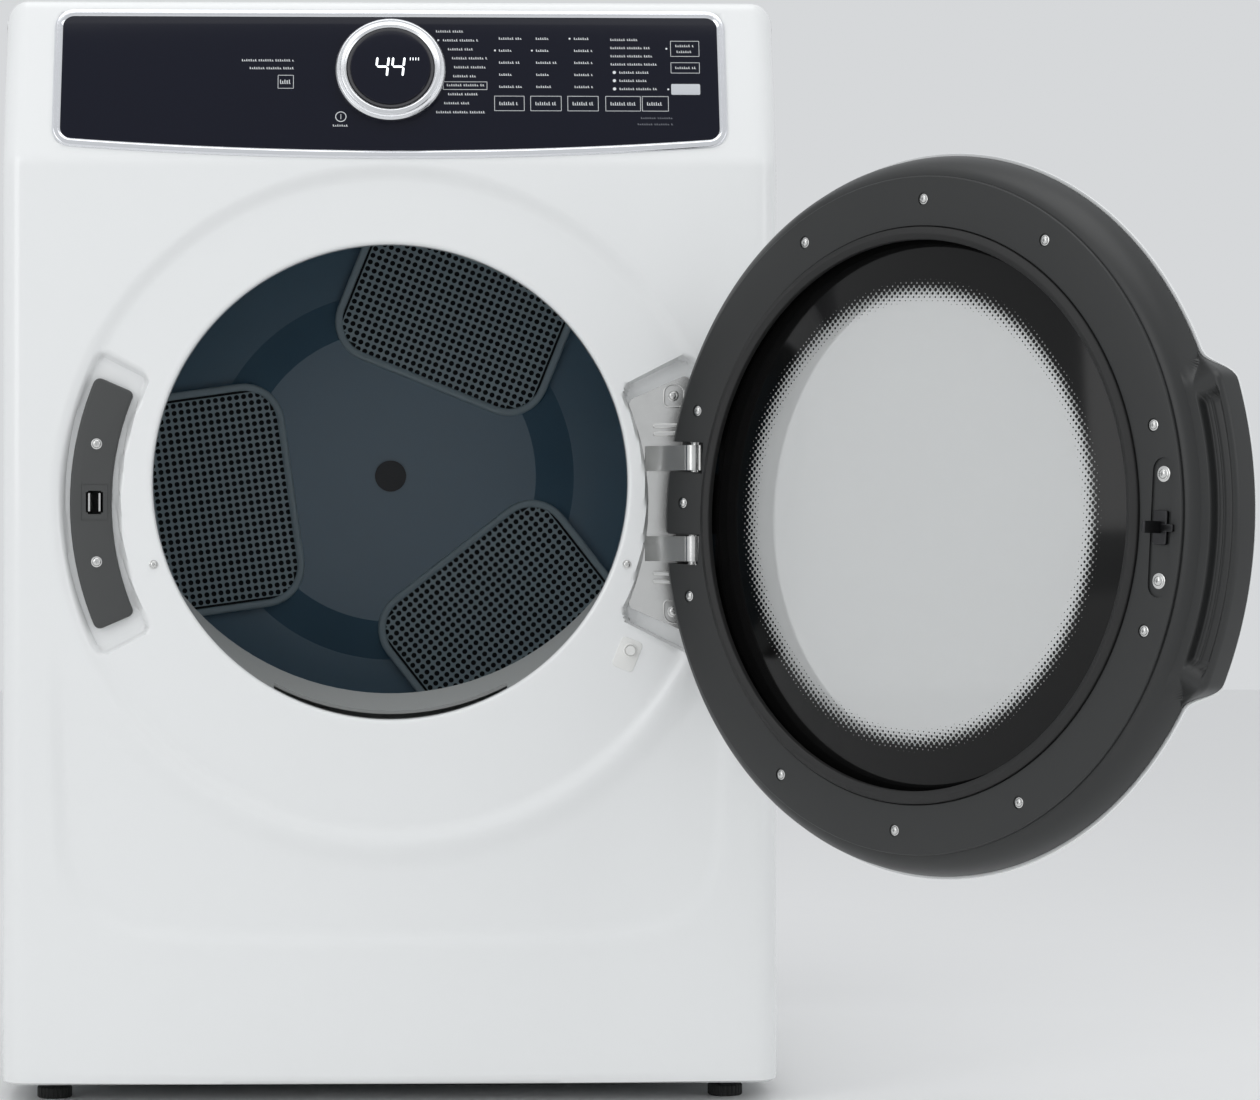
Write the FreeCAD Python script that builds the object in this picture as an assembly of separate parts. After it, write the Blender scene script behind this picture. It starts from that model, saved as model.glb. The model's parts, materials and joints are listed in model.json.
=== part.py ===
import FreeCAD, Part
import math
import os

# Clothes dryer, front loading, 27 inch class. Millimetres, +Z up, front facing -Y.
# The origin is the centre of the footprint, on the floor.

V = FreeCAD.Vector
os.makedirs("parts", exist_ok=True)

# Driving dimensions -------------------------------------------------------------------
WIDTH = 686.0
DEPTH = 700.0
HEIGHT = 979.0
FLOOR_GAP = 17.0
SHEET = 1.2

SLOPE_Z = 832.0
SLOPE_DEG = 18.0
EDGE_RADIUS = 20.0
FRONT_DEPTH = 62.0
TOP_CAP = 24.0

OPENING_R = 210.0
OPENING_Z = 549.0
DOOR_Z = 530.0
RECESS_OUTER_R = 301.0
RECESS_R = 285.0
RECESS_DEPTH = 5.0

DOOR_OPEN_DEG = 131.66
HINGE_X = 267.0
HINGE_PROUD = 22.0
HINGE_LEAN_DEG = 1.49
RING_PROUD = 2.0
RING_R = 282.0
RING_INNER_R = 240.0
DOOR_RIM_R = 300.0
RIM_DEPTH = 31.0
ARM_LOW = 29.0
ARM_HIGH = 51.0
PIN_R = 4.0

THROAT_R = 241.0
THROAT_Z = 600.0

DRUM_Z = 562.0
DRUM_R = 318.0
DRUM_FRONT = -252.0
DRUM_BACK = 285.0
BULKHEAD_Y = -268.0
REAR_BULKHEAD_Y = 302.0
SHAFT_R = 10.0

MOTOR_X = 120.0
MOTOR_Z = 125.0
MOTOR_R = 62.0
BELT_Y = 62.0
BELT_WIDTH = 8.0
BELT_THICK = 2.0
BELT_GAP = 0.4
PULLEY_R = 10.0
IDLER_X = 30.0
IDLER_Z = 100.0
IDLER_R = 28.0
IDLER_PIVOT_X = 85.0
IDLER_PIVOT_Z = 92.0

DUCT_R = 50.8
DUCT_X = -70.0
DUCT_Z = 82.0
DUCT_PROUD = 30.0

FOOT_X = 300.0
FOOT_Y = 295.0
FOOT_R = 15.5
STUD_R = 4.9

DIAL_SLOPE = 85.0
DIAL_R = 49.0
DIAL_INNER_R = 39.0

# Derived values ------------------------------------------------------------------------
HALF = WIDTH / 2
FRONT = -DEPTH / 2
BACK = DEPTH / 2
SEAM = FRONT + FRONT_DEPTH
TAN = math.tan(math.radians(SLOPE_DEG))
HALF_TAN = math.tan(math.radians(SLOPE_DEG / 2))
UP = V(0, math.sin(math.radians(SLOPE_DEG)), math.cos(math.radians(SLOPE_DEG)))
OUT = V(0, -math.cos(math.radians(SLOPE_DEG)), math.sin(math.radians(SLOPE_DEG)))
SLOPE_FOOT = V(0, FRONT, SLOPE_Z)
RING_Y = FRONT - RING_PROUD
HINGE_POINT = V(HINGE_X, FRONT - HINGE_PROUD, DOOR_Z)
HINGE_AXIS = V(math.sin(math.radians(HINGE_LEAN_DEG)), 0, math.cos(math.radians(HINGE_LEAN_DEG)))
RECESS_Y = FRONT + RECESS_DEPTH


# Helpers -------------------------------------------------------------------------------
def write(name, shape):
    """Write one node; every solid in it has to be closed and valid."""
    solids = shape.Solids
    assert solids, name
    assert all(s.isValid() for s in solids), name
    if len(solids) == 1:
        shape = solids[0]
    shape.exportStep("parts/" + name + ".step")
    print(name, len(solids), round(shape.Volume / 1000, 1), "cm3")


def box(x0, x1, y0, y1, z0, z1):
    return Part.makeBox(x1 - x0, y1 - y0, z1 - z0, V(x0, y0, z0))


def rod(radius, start, end):
    along = end - start
    return Part.makeCylinder(radius, along.Length, start, along)


def rod_y(radius, x, z, y0, y1):
    return Part.makeCylinder(radius, y1 - y0, V(x, y0, z), V(0, 1, 0))


def rod_z(radius, x, y, z0, z1):
    return Part.makeCylinder(radius, z1 - z0, V(x, y, z0))


def ring_y(outer, inner, x, z, y0, y1):
    return rod_y(outer, x, z, y0, y1).cut(rod_y(inner, x, z, y0 - 1, y1 + 1))


def ring_z(outer, inner, x, y, z0, z1):
    return rod_z(outer, x, y, z0, z1).cut(rod_z(inner, x, y, z0 - 1, z1 + 1))


def prism(points, along):
    """A closed polygon of points pushed along a vector."""
    return Part.Face(Part.makePolygon(points + [points[0]])).extrude(along)


def turned_y(profile, x, z):
    """A polygon of (radius, y) turned about the Y line through x, z."""
    points = [V(x + radius, y, z) for radius, y in profile]
    face = Part.Face(Part.makePolygon(points + [points[0]]))
    return face.revolve(V(x, 0, z), V(0, 1, 0), 360)


def sector_y(outer, inner, middle_deg, half_deg, z, y0, y1):
    """Part of a flat ring about the Y line through x = 0; angles run from +X towards +Z."""
    start = math.radians(middle_deg - half_deg)
    end = math.radians(middle_deg + half_deg)
    middle = math.radians(middle_deg)

    def at(radius, angle):
        return V(radius * math.cos(angle), y0, z + radius * math.sin(angle))

    edges = [
        Part.Arc(at(outer, start), at(outer, middle), at(outer, end)).toShape(),
        Part.makeLine(at(outer, end), at(inner, end)),
        Part.Arc(at(inner, end), at(inner, middle), at(inner, start)).toShape(),
        Part.makeLine(at(inner, start), at(outer, start)),
    ]
    return Part.Face(Part.Wire(edges)).extrude(V(0, y1 - y0, 0))


def rounded_sector(outer, inner, middle_deg, half_deg, z, y0, y1, corner):
    shape = sector_y(outer, inner, middle_deg, half_deg, z, y0, y1)
    upright = [e for e in shape.Edges if abs(e.BoundBox.YLength - (y1 - y0)) < 0.01]
    return shape.makeFillet(corner, upright)


def on_slope(x, up, out):
    """A point of the control fascia: across, up along the slope and out from it."""
    return SLOPE_FOOT + V(x, 0, 0) + UP * up + OUT * out


def slope_slab(half_width, low, high, sag, out0, out1, corner):
    """A panel on the slope with rounded corners and a lower edge that bows down by sag."""
    corners = [on_slope(x, s, out0) for x, s in
               ((-half_width, high), (half_width, high), (half_width, low + sag))]
    left_low = on_slope(-half_width, low + sag, out0)
    edges = [Part.makeLine(corners[0], corners[1]), Part.makeLine(corners[1], corners[2])]
    edges.append(Part.Arc(corners[2], on_slope(0, low, out0), left_low).toShape())
    edges.append(Part.makeLine(left_low, corners[0]))
    slab = Part.Face(Part.Wire(edges)).extrude(OUT * (out1 - out0))
    posts = [e for e in slab.Edges if abs(e.Length - (out1 - out0)) < 0.01
             and len(e.Vertexes) == 2]
    return slab.makeFillet(corner, posts)


def slope_rod(radius, x, up, out0, out1):
    return rod(radius, on_slope(x, up, out0), on_slope(x, up, out1))


def screw_y(x, z, y, head_r, length):
    """A pan-head screw that faces -Y, its head's underside at y."""
    head = rod_y(head_r, x, z, y - 2.2, y)
    head = head.makeChamfer(0.8, [e for e in head.Edges if abs(e.BoundBox.YMax - (y - 2.2)) < 0.01
                                  and e.BoundBox.XLength > 1])
    shank = rod_y(head_r * 0.45, x, z, y, y + length)
    drive = box(x - head_r * 0.6, x + head_r * 0.6, y - 3, y - 1.4, z - 0.5, z + 0.5)
    cross = box(x - 0.5, x + 0.5, y - 3, y - 1.4, z - head_r * 0.6, z + head_r * 0.6)
    return head.fuse(shank).removeSplitter().cut(drive).cut(cross)


def screw_holes(spots, y0, y1, radius):
    return Part.makeCompound([rod_y(radius, x, z, y0, y1) for x, z in spots])


def polar(radius, degrees, z=DOOR_Z):
    turn = math.radians(degrees)
    return (radius * math.cos(turn), z + radius * math.sin(turn))


# Screw places ---------------------------------------------------------------------------
OPENING_SCREWS = [(-209.0, 476.0), (209.0, 476.0)]
LATCH_SCREWS = [(-259.0, 582.5), (-259.0, 478.5)]
HINGE_SCREWS = [(251.0, 626.0), (251.0, 434.0)]
LATCH_SLOT_X = -261.0
SWITCH_SPOT = (212.0, 400.0)
LATCH_POCKET_Y = FRONT + 12.0
HINGE_POCKET_Y = FRONT + 21.0
PLATE_Y = FRONT + 3.0


# Cabinet shell --------------------------------------------------------------------------
def front_solid(inset):
    """The space inside the front panel's outer faces, moved in by the inset: upright below
    the bend and leaning back above it, rounded along both sides and at the top corners."""
    low = FLOOR_GAP if inset == 0 else FLOOR_GAP - 1
    rear = SEAM if inset == 0 else SEAM + 1
    top = HEIGHT - inset
    bend_z = SLOPE_Z + inset * HALF_TAN
    face = FRONT + inset
    side = HALF - inset
    radius = EDGE_RADIUS - inset
    far = 200.0
    bevel = radius * (1 - math.sqrt(0.5))
    plan = [Part.makeLine(V(side, face + far, 0), V(side, face + radius, 0)),
            Part.Arc(V(side, face + radius, 0), V(side - bevel, face + bevel, 0),
                     V(side - radius, face, 0)).toShape(),
            Part.makeLine(V(side - radius, face, 0), V(radius - side, face, 0)),
            Part.Arc(V(radius - side, face, 0), V(bevel - side, face + bevel, 0),
                     V(-side, face + radius, 0)).toShape(),
            Part.makeLine(V(-side, face + radius, 0), V(-side, face + far, 0)),
            Part.makeLine(V(-side, face + far, 0), V(side, face + far, 0))]
    sheet = Part.Face(Part.Wire(plan))
    sheet.translate(V(0, 0, low))
    upright = sheet.extrude(V(0, 0, bend_z - low))
    sheet.translate(V(0, 0, bend_z - low))
    leaning = sheet.extrude(UP * ((top - bend_z + 20) / UP.z))
    outline = box(-side, side, face - 1, rear, low, top)
    corners = [e for e in outline.Edges if e.BoundBox.YLength > 1 and e.BoundBox.ZMin > top - 0.1]
    return upright.fuse(leaning).common(outline.makeFillet(radius, corners)).removeSplitter()


def pocket(outer, inner, middle, half, floor_y):
    """A pressed tray in the recess floor: its wall and floor, and the space inside it."""
    tray = rounded_sector(outer + SHEET, inner - SHEET, middle, half + 0.3, DOOR_Z,
                          RECESS_Y, floor_y + SHEET, 9)
    space = rounded_sector(outer, inner, middle, half, DOOR_Z, FRONT - 5, floor_y, 8)
    return tray, space


def front_panel():
    skin = front_solid(0).cut(front_solid(SHEET))
    skin = skin.cut(rod_y(RECESS_OUTER_R, 0, DOOR_Z, FRONT - 5, FRONT + 5))
    floor = [(RECESS_OUTER_R, FRONT), (RECESS_OUTER_R, FRONT + SHEET),
             (RECESS_R, RECESS_Y + SHEET), (OPENING_R - 30, RECESS_Y + SHEET),
             (OPENING_R - 30, RECESS_Y), (RECESS_R, RECESS_Y)]
    dish = turned_y(floor, 0, DOOR_Z)
    patch = rod_y(OPENING_R + 5, 0, OPENING_Z, RECESS_Y, RECESS_Y + SHEET)
    neck = rod_y(OPENING_R + SHEET, 0, OPENING_Z, RECESS_Y, RECESS_Y + 16)
    hinge_tray, hinge_space = pocket(299.5, 226, 0, 27, HINGE_POCKET_Y)
    latch_tray, latch_space = pocket(291, 238, 180, 28, LATCH_POCKET_Y)
    shape = skin.fuse([dish, patch, neck, hinge_tray, latch_tray])
    shape = shape.cut(rod_y(OPENING_R, 0, OPENING_Z, FRONT - 5, FRONT + 60))
    shape = shape.cut([hinge_space, latch_space])
    shape = shape.cut(slope_slab(294, 7, 141.5, 12, -8, 8, 11))
    shape = shape.cut(box(-269, -253, FRONT, FRONT + 20, 519, 543))
    shape = shape.cut(rod_y(4.6, SWITCH_SPOT[0], SWITCH_SPOT[1], FRONT, FRONT + 20))
    holes = screw_holes(OPENING_SCREWS + LATCH_SCREWS + HINGE_SCREWS, FRONT, FRONT + 30, 2.6)
    return shape.cut(holes).removeSplitter()


def side_panel(sign):
    """One side: a sheet with an inturned flange along the back and the bottom."""
    outer = sign * HALF
    inner = sign * (HALF - SHEET)
    flange = sign * (HALF - 16)
    top = HEIGHT - TOP_CAP
    low, high = sorted((outer, inner))
    sheet = box(low, high, SEAM, BACK - SHEET, FLOOR_GAP, top)
    low, high = sorted((inner, flange))
    rear = box(low, high, BACK - 2 * SHEET, BACK - SHEET, FLOOR_GAP + 40, top)
    lip = box(low, high, SEAM, BACK - 2 * SHEET, top - SHEET, top)
    return sheet.fuse([rear, lip]).removeSplitter()


def top_panel():
    """The lid: rounded along both sides, its skirt sitting on the side panels."""
    def bar(inset, rear):
        low = HEIGHT - TOP_CAP if inset == 0 else HEIGHT - TOP_CAP - 1
        solid = box(-HALF + inset, HALF - inset, SEAM + 0.3, rear, low, HEIGHT - inset)
        top_edges = [e for e in solid.Edges if abs(e.BoundBox.ZMin - (HEIGHT - inset)) < 0.01
                     and e.BoundBox.YLength > 100]
        return solid.makeFillet(EDGE_RADIUS - inset, top_edges)

    inner = bar(SHEET, BACK - SHEET)
    return bar(0, BACK).cut(inner)


CORD_HOLE = (-262.0, 836.0)
WATER_SPOT = (262.0, 120.0)
REAR_SCREWS = [(x, z) for z in (75.0, 350.0, 640.0, 930.0) for x in (-334.0, 334.0)]
REAR_SCREWS += [(x, 930.0) for x in (-110.0, 110.0)]


def rear_panel():
    panel = box(-HALF, HALF, BACK - SHEET, BACK, FLOOR_GAP, HEIGHT - TOP_CAP)
    cuts = [rod_y(DUCT_R + 1.2, DUCT_X, DUCT_Z, 300, 400),
            rod_y(14.3, CORD_HOLE[0], CORD_HOLE[1], 300, 400),
            rod_y(14.0, WATER_SPOT[0], WATER_SPOT[1], 300, 400),
            ]
    for column in range(4):
        for row in range(9):
            x = -225 + column * 130
            z = 420 + row * 24
            cuts.append(box(x, x + 60, 300, 400, z, z + 5))
    holes = screw_holes(REAR_SCREWS, 300, 400, 2.0)
    return panel.cut(cuts).cut(holes)


def base_frame():
    """The pan that everything stands on: a ring of folded sheet with two rails across."""
    reach = HALF - SHEET - 0.4
    rim = box(-reach, reach, SEAM + 2, BACK - 2 * SHEET - 0.4, FLOOR_GAP, 52)
    inside = box(-reach + 2, reach - 2, SEAM + 4, BACK - 2 * SHEET - 2.4, FLOOR_GAP + 2, 60)
    gaps = [box(-240, 240, -225, -100, 0, 30), box(-240, 240, -60, 215, 0, 30)]
    studs = [rod_z(STUD_R + 0.1, x, y, 0, 60) for x in (-FOOT_X, FOOT_X) for y in (-FOOT_Y, FOOT_Y)]
    front = box(-reach + 20, reach - 20, FRONT + 6, SEAM + 2, FLOOR_GAP, FLOOR_GAP + 2)
    upstand = box(-reach + 20, reach - 20, FRONT + 6, FRONT + 8, FLOOR_GAP, 52)
    pan = rim.cut(inside).fuse([front, upstand]).cut(gaps)
    vent = rod_y(DUCT_R + 2, DUCT_X, DUCT_Z, 300, 400)
    return pan.cut(studs).cut(vent).removeSplitter()


# Console --------------------------------------------------------------------------------
def console_housing():
    """The moulded carrier behind the fascia: an open tray with a hole for the dial barrel."""
    tray = slope_slab(290, 9, 140, 12, -30, -6.2, 9)
    space = slope_slab(287, 12, 137, 12, -27, 0, 8)
    shape = tray.cut(space)
    return shape.cut(slope_rod(39, 0, DIAL_SLOPE, -40, 10))


def fascia_trim():
    frame = slope_slab(299, 3, 146, 12, 0.2, 2.6, 12)
    lining = slope_slab(293.5, 7.5, 141, 12, -6, 2.6, 10.5)
    opening = slope_slab(291.5, 9.5, 139, 12, -8, 8, 9.5)
    return frame.fuse(lining).cut(opening).removeSplitter()


def control_fascia():
    panel = slope_slab(291.2, 9.8, 138.7, 12, -6, 1.2, 9.2)
    return panel.cut(slope_rod(37.5, 0, DIAL_SLOPE, -10, 10))


def dial_ring():
    profile = [(DIAL_INNER_R, 1.7), (DIAL_R - 1.5, 1.7), (DIAL_R, 4), (DIAL_R, 8),
               (DIAL_R - 2, 10.5), (DIAL_INNER_R + 3, 12.5), (DIAL_INNER_R, 11.5)]
    centre = on_slope(0, DIAL_SLOPE, 0)
    points = [centre + V(r, 0, 0) + OUT * h for r, h in profile]
    face = Part.Face(Part.makePolygon(points + [points[0]]))
    return face.revolve(centre, OUT, 360)


def display_barrel():
    body = slope_rod(37.2, 0, DIAL_SLOPE, -26, 12).fuse(slope_rod(38.6, 0, DIAL_SLOPE, 1.8, 12))
    return body.cut(slope_rod(35.6, 0, DIAL_SLOPE, -23, 20)).removeSplitter()


def display_lens():
    return slope_rod(35.5, 0, DIAL_SLOPE, 10.6, 13.4)


def control_board():
    board = slope_slab(250, 16, 44, 6, -20, -18.4, 3)
    parts = []
    for index in range(12):
        x = -220 + index * 40
        low = on_slope(x, 32, -18.4)
        parts.append(rod(5 + index % 3, low, low + OUT * (5 + index % 4)))
    return board.fuse(parts)


# Door opening and what sits round it ---------------------------------------------------
def latch_plate():
    plate = rounded_sector(283, 246, 180, 23.6, DOOR_Z, PLATE_Y, LATCH_POCKET_Y, 7)
    hollow = rounded_sector(281, 248, 180, 23.2, DOOR_Z, PLATE_Y + 2, LATCH_POCKET_Y, 6)
    posts = [rod_y(5, x, z, PLATE_Y + 1, LATCH_POCKET_Y) for x, z in LATCH_SCREWS]
    shape = plate.cut(hollow).fuse(posts)
    shape = shape.cut(box(-268, -254, FRONT, FRONT + 20, 520, 542))
    return shape.cut(screw_holes(LATCH_SCREWS, FRONT, FRONT + 30, 2.4)).removeSplitter()


def latch_housing():
    body = box(-275, -247, LATCH_POCKET_Y + SHEET, FRONT + 42, 512, 550)
    return body.cut(box(-268.5, -253.5, FRONT, FRONT + 39, 519.5, 542.5))


def latch_jaw(sign):
    """A sprung steel finger of the door catch."""
    near, far = sorted((LATCH_SLOT_X + sign * 2.6, LATCH_SLOT_X + sign * 4.2))
    finger = box(near, far, FRONT + 5, FRONT + 34, 523, 539)
    lead = [V(LATCH_SLOT_X + sign * 2.6, FRONT + 5, 523), V(LATCH_SLOT_X + sign * 4.2, FRONT + 5, 523),
            V(LATCH_SLOT_X + sign * 5.4, FRONT + 2, 523), V(LATCH_SLOT_X + sign * 3.8, FRONT + 2, 523)]
    return finger.fuse(prism(lead, V(0, 0, 16))).removeSplitter()


def hinge_bracket():
    """The steel plate of the hinge with its two swan-neck arms."""
    plate = rounded_sector(288, 229, 0, 23.5, DOOR_Z, HINGE_POCKET_Y - 2, HINGE_POCKET_Y, 6)
    plate = plate.cut(screw_holes(HINGE_SCREWS, FRONT, FRONT + 30, 2.6))
    root = V(234, HINGE_POCKET_Y - 2, 0)
    pivot = V(HINGE_X, HINGE_POINT.y, 0)
    along = (pivot - root).normalize()
    aside = V(-along.y, along.x, 0) * 7
    arms = []
    for low in (DOOR_Z - ARM_HIGH, DOOR_Z + ARM_LOW):
        lift = V(0, 0, low)
        back = root - along * 4
        outline = [back + aside + lift, pivot + aside + lift, pivot - aside + lift, back - aside + lift]
        arm = prism(outline, V(0, 0, ARM_HIGH - ARM_LOW))
        arm = arm.fuse(rod_z(9, HINGE_X, HINGE_POINT.y, low, low + ARM_HIGH - ARM_LOW))
        arms.append(arm.cut(box(200, 300, HINGE_POCKET_Y - 1, HINGE_POCKET_Y + 20, 400, 700)))
    shape = plate.fuse(arms)
    return shape.cut(hinge_rod(PIN_R + 0.02, 80)).removeSplitter()


def hinge_rod(radius, half_length):
    return rod(radius, HINGE_POINT - HINGE_AXIS * half_length, HINGE_POINT + HINGE_AXIS * half_length)


def hinge_pin():
    pin = hinge_rod(PIN_R, ARM_HIGH + 3)
    heads = [rod(5.5, HINGE_POINT + HINGE_AXIS * s, HINGE_POINT + HINGE_AXIS * (s + 2))
             for s in (ARM_HIGH + 2.4, -ARM_HIGH - 4.4)]
    return pin.fuse(heads).removeSplitter()


def door_switch_plunger():
    x, z = SWITCH_SPOT
    return rod_y(4.2, x, z, FRONT - 1.2, FRONT + 14).fuse(rod_y(6, x, z, FRONT + 9, FRONT + 12))


def front_bulkhead():
    """The inner front wall, and the throat that leads from the opening up to it. The throat
    is an oblique funnel, its rear end higher than its mouth, with the lint filter's slot."""
    wall = box(-338, 338, BULKHEAD_Y, BULKHEAD_Y + 3, 215, 905)
    hub = ring_y(311, 306, 0, DRUM_Z, BULKHEAD_Y + 2, BULKHEAD_Y + 36)
    wall = wall.fuse(hub).cut(rod_y(THROAT_R, 0, THROAT_Z, BULKHEAD_Y - 1, BULKHEAD_Y + 30))

    def funnel(grow):
        near = Part.Wire(Part.makeCircle(214 + grow, V(0, RECESS_Y + 17, OPENING_Z), V(0, 1, 0)))
        far = Part.Wire(Part.makeCircle(THROAT_R + grow, V(0, BULKHEAD_Y, THROAT_Z), V(0, 1, 0)))
        return Part.makeLoft([near, far], True, True)

    throat = funnel(3).cut(funnel(0)).cut(box(-104, 104, -330, -303, 240, 420))
    return Part.makeCompound([wall.removeSplitter(), throat])


def lint_filter():
    """A framed screen that lifts out of the slot in the throat."""
    frame = box(-100, 100, -327, -306, 120, 316)
    windows = [box(-94 + k * 64, -34 + k * 64, -340, -300, 128, 306) for k in range(3)]
    frame = frame.cut(windows)
    screen = box(-97, 97, -318, -316.6, 124, 310)
    grip = box(-98, 98, -325, -308, 316, 330).cut(box(-30, 30, -321, -312, 320, 340))
    return frame.fuse([screen, grip]).removeSplitter()


def lint_duct():
    outer = box(-108, 190, -334, -299, 60, 236)
    inner = box(-106, 188, -332, -301, 62, 240)
    port = ring_y(48, 46, MOTOR_X, MOTOR_Z, -300.5, -152.5)
    shape = outer.cut(inner).fuse(port)
    return shape.cut(rod_y(46, MOTOR_X, MOTOR_Z, -301.5, -150)).removeSplitter()


def front_drum_seal():
    return ring_y(DRUM_R - 1.6, 311.05, 0, DRUM_Z, BULKHEAD_Y + 18, BULKHEAD_Y + 34)


def moisture_bars():
    """Two steel strips on the rear face of the wall that the wet load brushes."""
    bars = [sector_y(radius + 5, radius, 270, 18, DRUM_Z, BULKHEAD_Y + 3.1, BULKHEAD_Y + 5)
            for radius in (268, 282)]
    return Part.makeCompound(bars)


def panel_screws():
    """The screws in the front: two beside the opening, two in each of the plates."""
    screws = [screw_y(x, z, RECESS_Y, 4.6, 12) for x, z in OPENING_SCREWS]
    screws += [screw_y(x, z, PLATE_Y, 5.0, 18) for x, z in LATCH_SCREWS]
    screws += [screw_y(x, z, HINGE_POCKET_Y - 2, 5.5, 12) for x, z in HINGE_SCREWS]
    return Part.makeCompound(screws)


# Drum -----------------------------------------------------------------------------------
GRILLE_ANGLES = (68.0, 188.0, 308.0)
GRILLE_INNER = 100.0
GRILLE_OUTER = 292.0
GRILLE_HALF = 116.0
GRILLE_Y = DRUM_BACK - 20.0


def grille_outline(grow, y0, y1):
    """A window on the +X side of the shaft: straight inside, round outside."""
    half = GRILLE_HALF + grow
    inner = GRILLE_INNER - grow
    outer = GRILLE_OUTER + grow
    reach = math.sqrt(outer ** 2 - half ** 2)
    corners = [V(inner, y0, -half), V(reach, y0, -half), V(reach, y0, half), V(inner, y0, half)]
    edges = [Part.makeLine(corners[0], corners[1]),
             Part.Arc(corners[1], V(outer, y0, 0), corners[2]).toShape(),
             Part.makeLine(corners[2], corners[3]),
             Part.makeLine(corners[3], corners[0])]
    slab = Part.Face(Part.Wire(edges)).extrude(V(0, y1 - y0, 0))
    posts = [e for e in slab.Edges if abs(e.BoundBox.YLength - (y1 - y0)) < 0.01]
    return slab.makeFillet(42 + grow, posts)


def round_the_drum(shape):
    """Copies of a shape at the three grille angles, moved onto the drum axis."""
    copies = []
    for angle in GRILLE_ANGLES:
        copy = shape.copy()
        copy.rotate(V(0, 0, 0), V(0, -1, 0), angle)
        copy.translate(V(0, 0, DRUM_Z))
        copies.append(copy)
    return copies


def drum_shell():
    tube = ring_y(DRUM_R, DRUM_R - SHEET, 0, DRUM_Z, DRUM_FRONT, DRUM_BACK + 10)
    bead = ring_y(DRUM_R + 2.5, DRUM_R - SHEET, 0, DRUM_Z, BELT_Y - 22, BELT_Y - 17)
    second = ring_y(DRUM_R + 2.5, DRUM_R - SHEET, 0, DRUM_Z, BELT_Y + 17, BELT_Y + 22)
    return tube.fuse([bead, second]).removeSplitter()


def drum_back():
    y = DRUM_BACK
    profile = [(SHAFT_R, y - 18), (150, y - 18), (190, y), (DRUM_R - 1.4, y),
               (DRUM_R - 1.4, y + 9), (DRUM_R - 2.6, y + 9), (DRUM_R - 2.6, y + 1.2),
               (189.6, y + 1.2), (149.6, y - 16.8), (SHAFT_R, y - 16.8)]
    disc = turned_y(profile, 0, DRUM_Z)
    return disc.cut(round_the_drum(grille_outline(-2.5, y - 40, y + 5)))


def drum_grilles():
    """The three perforated windows that the hot air comes through."""
    face = grille_outline(0, GRILLE_Y, GRILLE_Y + 1.4)
    pitch = 18.0
    holes = []
    for column in range(10):
        for row in range(-6, 7):
            x = GRILLE_INNER + 14 + column * pitch
            z = row * pitch
            inside = math.hypot(x, z) < GRILLE_OUTER - 9 and abs(z) < GRILLE_HALF - 8
            corner = math.hypot(x - GRILLE_INNER - 42, abs(z) - GRILLE_HALF + 42) > 34
            if inside and not (corner and x < GRILLE_INNER + 42 and abs(z) > GRILLE_HALF - 42):
                holes.append(rod_y(5.5, x, z, GRILLE_Y - 1, GRILLE_Y + 3))
    plate = face.cut(holes)
    skirt = grille_outline(-3, GRILLE_Y + 1, DRUM_BACK - 0.1).cut(
        grille_outline(-5, GRILLE_Y - 1, DRUM_BACK + 1))
    return Part.makeCompound(round_the_drum(plate.fuse(skirt).removeSplitter()))


def drum_vanes():
    outline = [V(-34, DRUM_FRONT + 34, DRUM_R - 1.9), V(34, DRUM_FRONT + 34, DRUM_R - 1.9),
               V(13, DRUM_FRONT + 34, DRUM_R - 62), V(-13, DRUM_FRONT + 34, DRUM_R - 62)]
    vane = prism(outline, V(0, 490, 0))
    vane = vane.cut(rod_y(600, 0, 0, -300, 300).cut(rod_y(DRUM_R - 1.3, 0, 0, -301, 301)))
    vane = vane.makeFillet(9, [e for e in vane.Edges if e.BoundBox.YLength > 400
                               and e.BoundBox.ZMax < DRUM_R - 50])
    vanes = []
    for angle in GRILLE_ANGLES:
        copy = vane.copy()
        copy.rotate(V(0, 0, 0), V(0, -1, 0), angle - 90 + 60)
        copy.translate(V(0, 0, DRUM_Z))
        vanes.append(copy)
    return Part.makeCompound(vanes)


def drum_shaft():
    shaft = rod_y(SHAFT_R, 0, DRUM_Z, DRUM_BACK - 24, REAR_BULKHEAD_Y + 20)
    flange = rod_y(40, 0, DRUM_Z, DRUM_BACK - 16.7, DRUM_BACK - 12)
    cap = rod_y(16, 0, DRUM_Z, DRUM_BACK - 24, DRUM_BACK - 18.1)
    return shaft.fuse([flange, cap]).removeSplitter()


def rear_bulkhead():
    wall = box(-338, 338, REAR_BULKHEAD_Y, REAR_BULKHEAD_Y + SHEET, 215, 905)
    inlets = [sector_y(285, 150, angle, 40, DRUM_Z, 290, 310) for angle in (150, 210)]
    wall = wall.cut(inlets).cut(rod_y(24, 0, DRUM_Z, 290, 310))
    return wall


def rear_bearing():
    carrier = ring_y(38, 14, 0, DRUM_Z, REAR_BULKHEAD_Y - 3, REAR_BULKHEAD_Y)
    sleeve = ring_y(23.5, SHAFT_R + 0.05, 0, DRUM_Z, REAR_BULKHEAD_Y - 5, REAR_BULKHEAD_Y + 18)
    return carrier.fuse(sleeve).removeSplitter()


def rear_drum_seal():
    return ring_y(308, 297, 0, DRUM_Z, DRUM_BACK + 10.5, REAR_BULKHEAD_Y)


def heater_housing():
    near = REAR_BULKHEAD_Y + SHEET
    outer = sector_y(292, 140, 180, 74, DRUM_Z, near, near + 38)
    inner = sector_y(290.5, 141.5, 180, 73.6, DRUM_Z, near - 1, near + 36.8)
    return outer.cut(inner)


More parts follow.
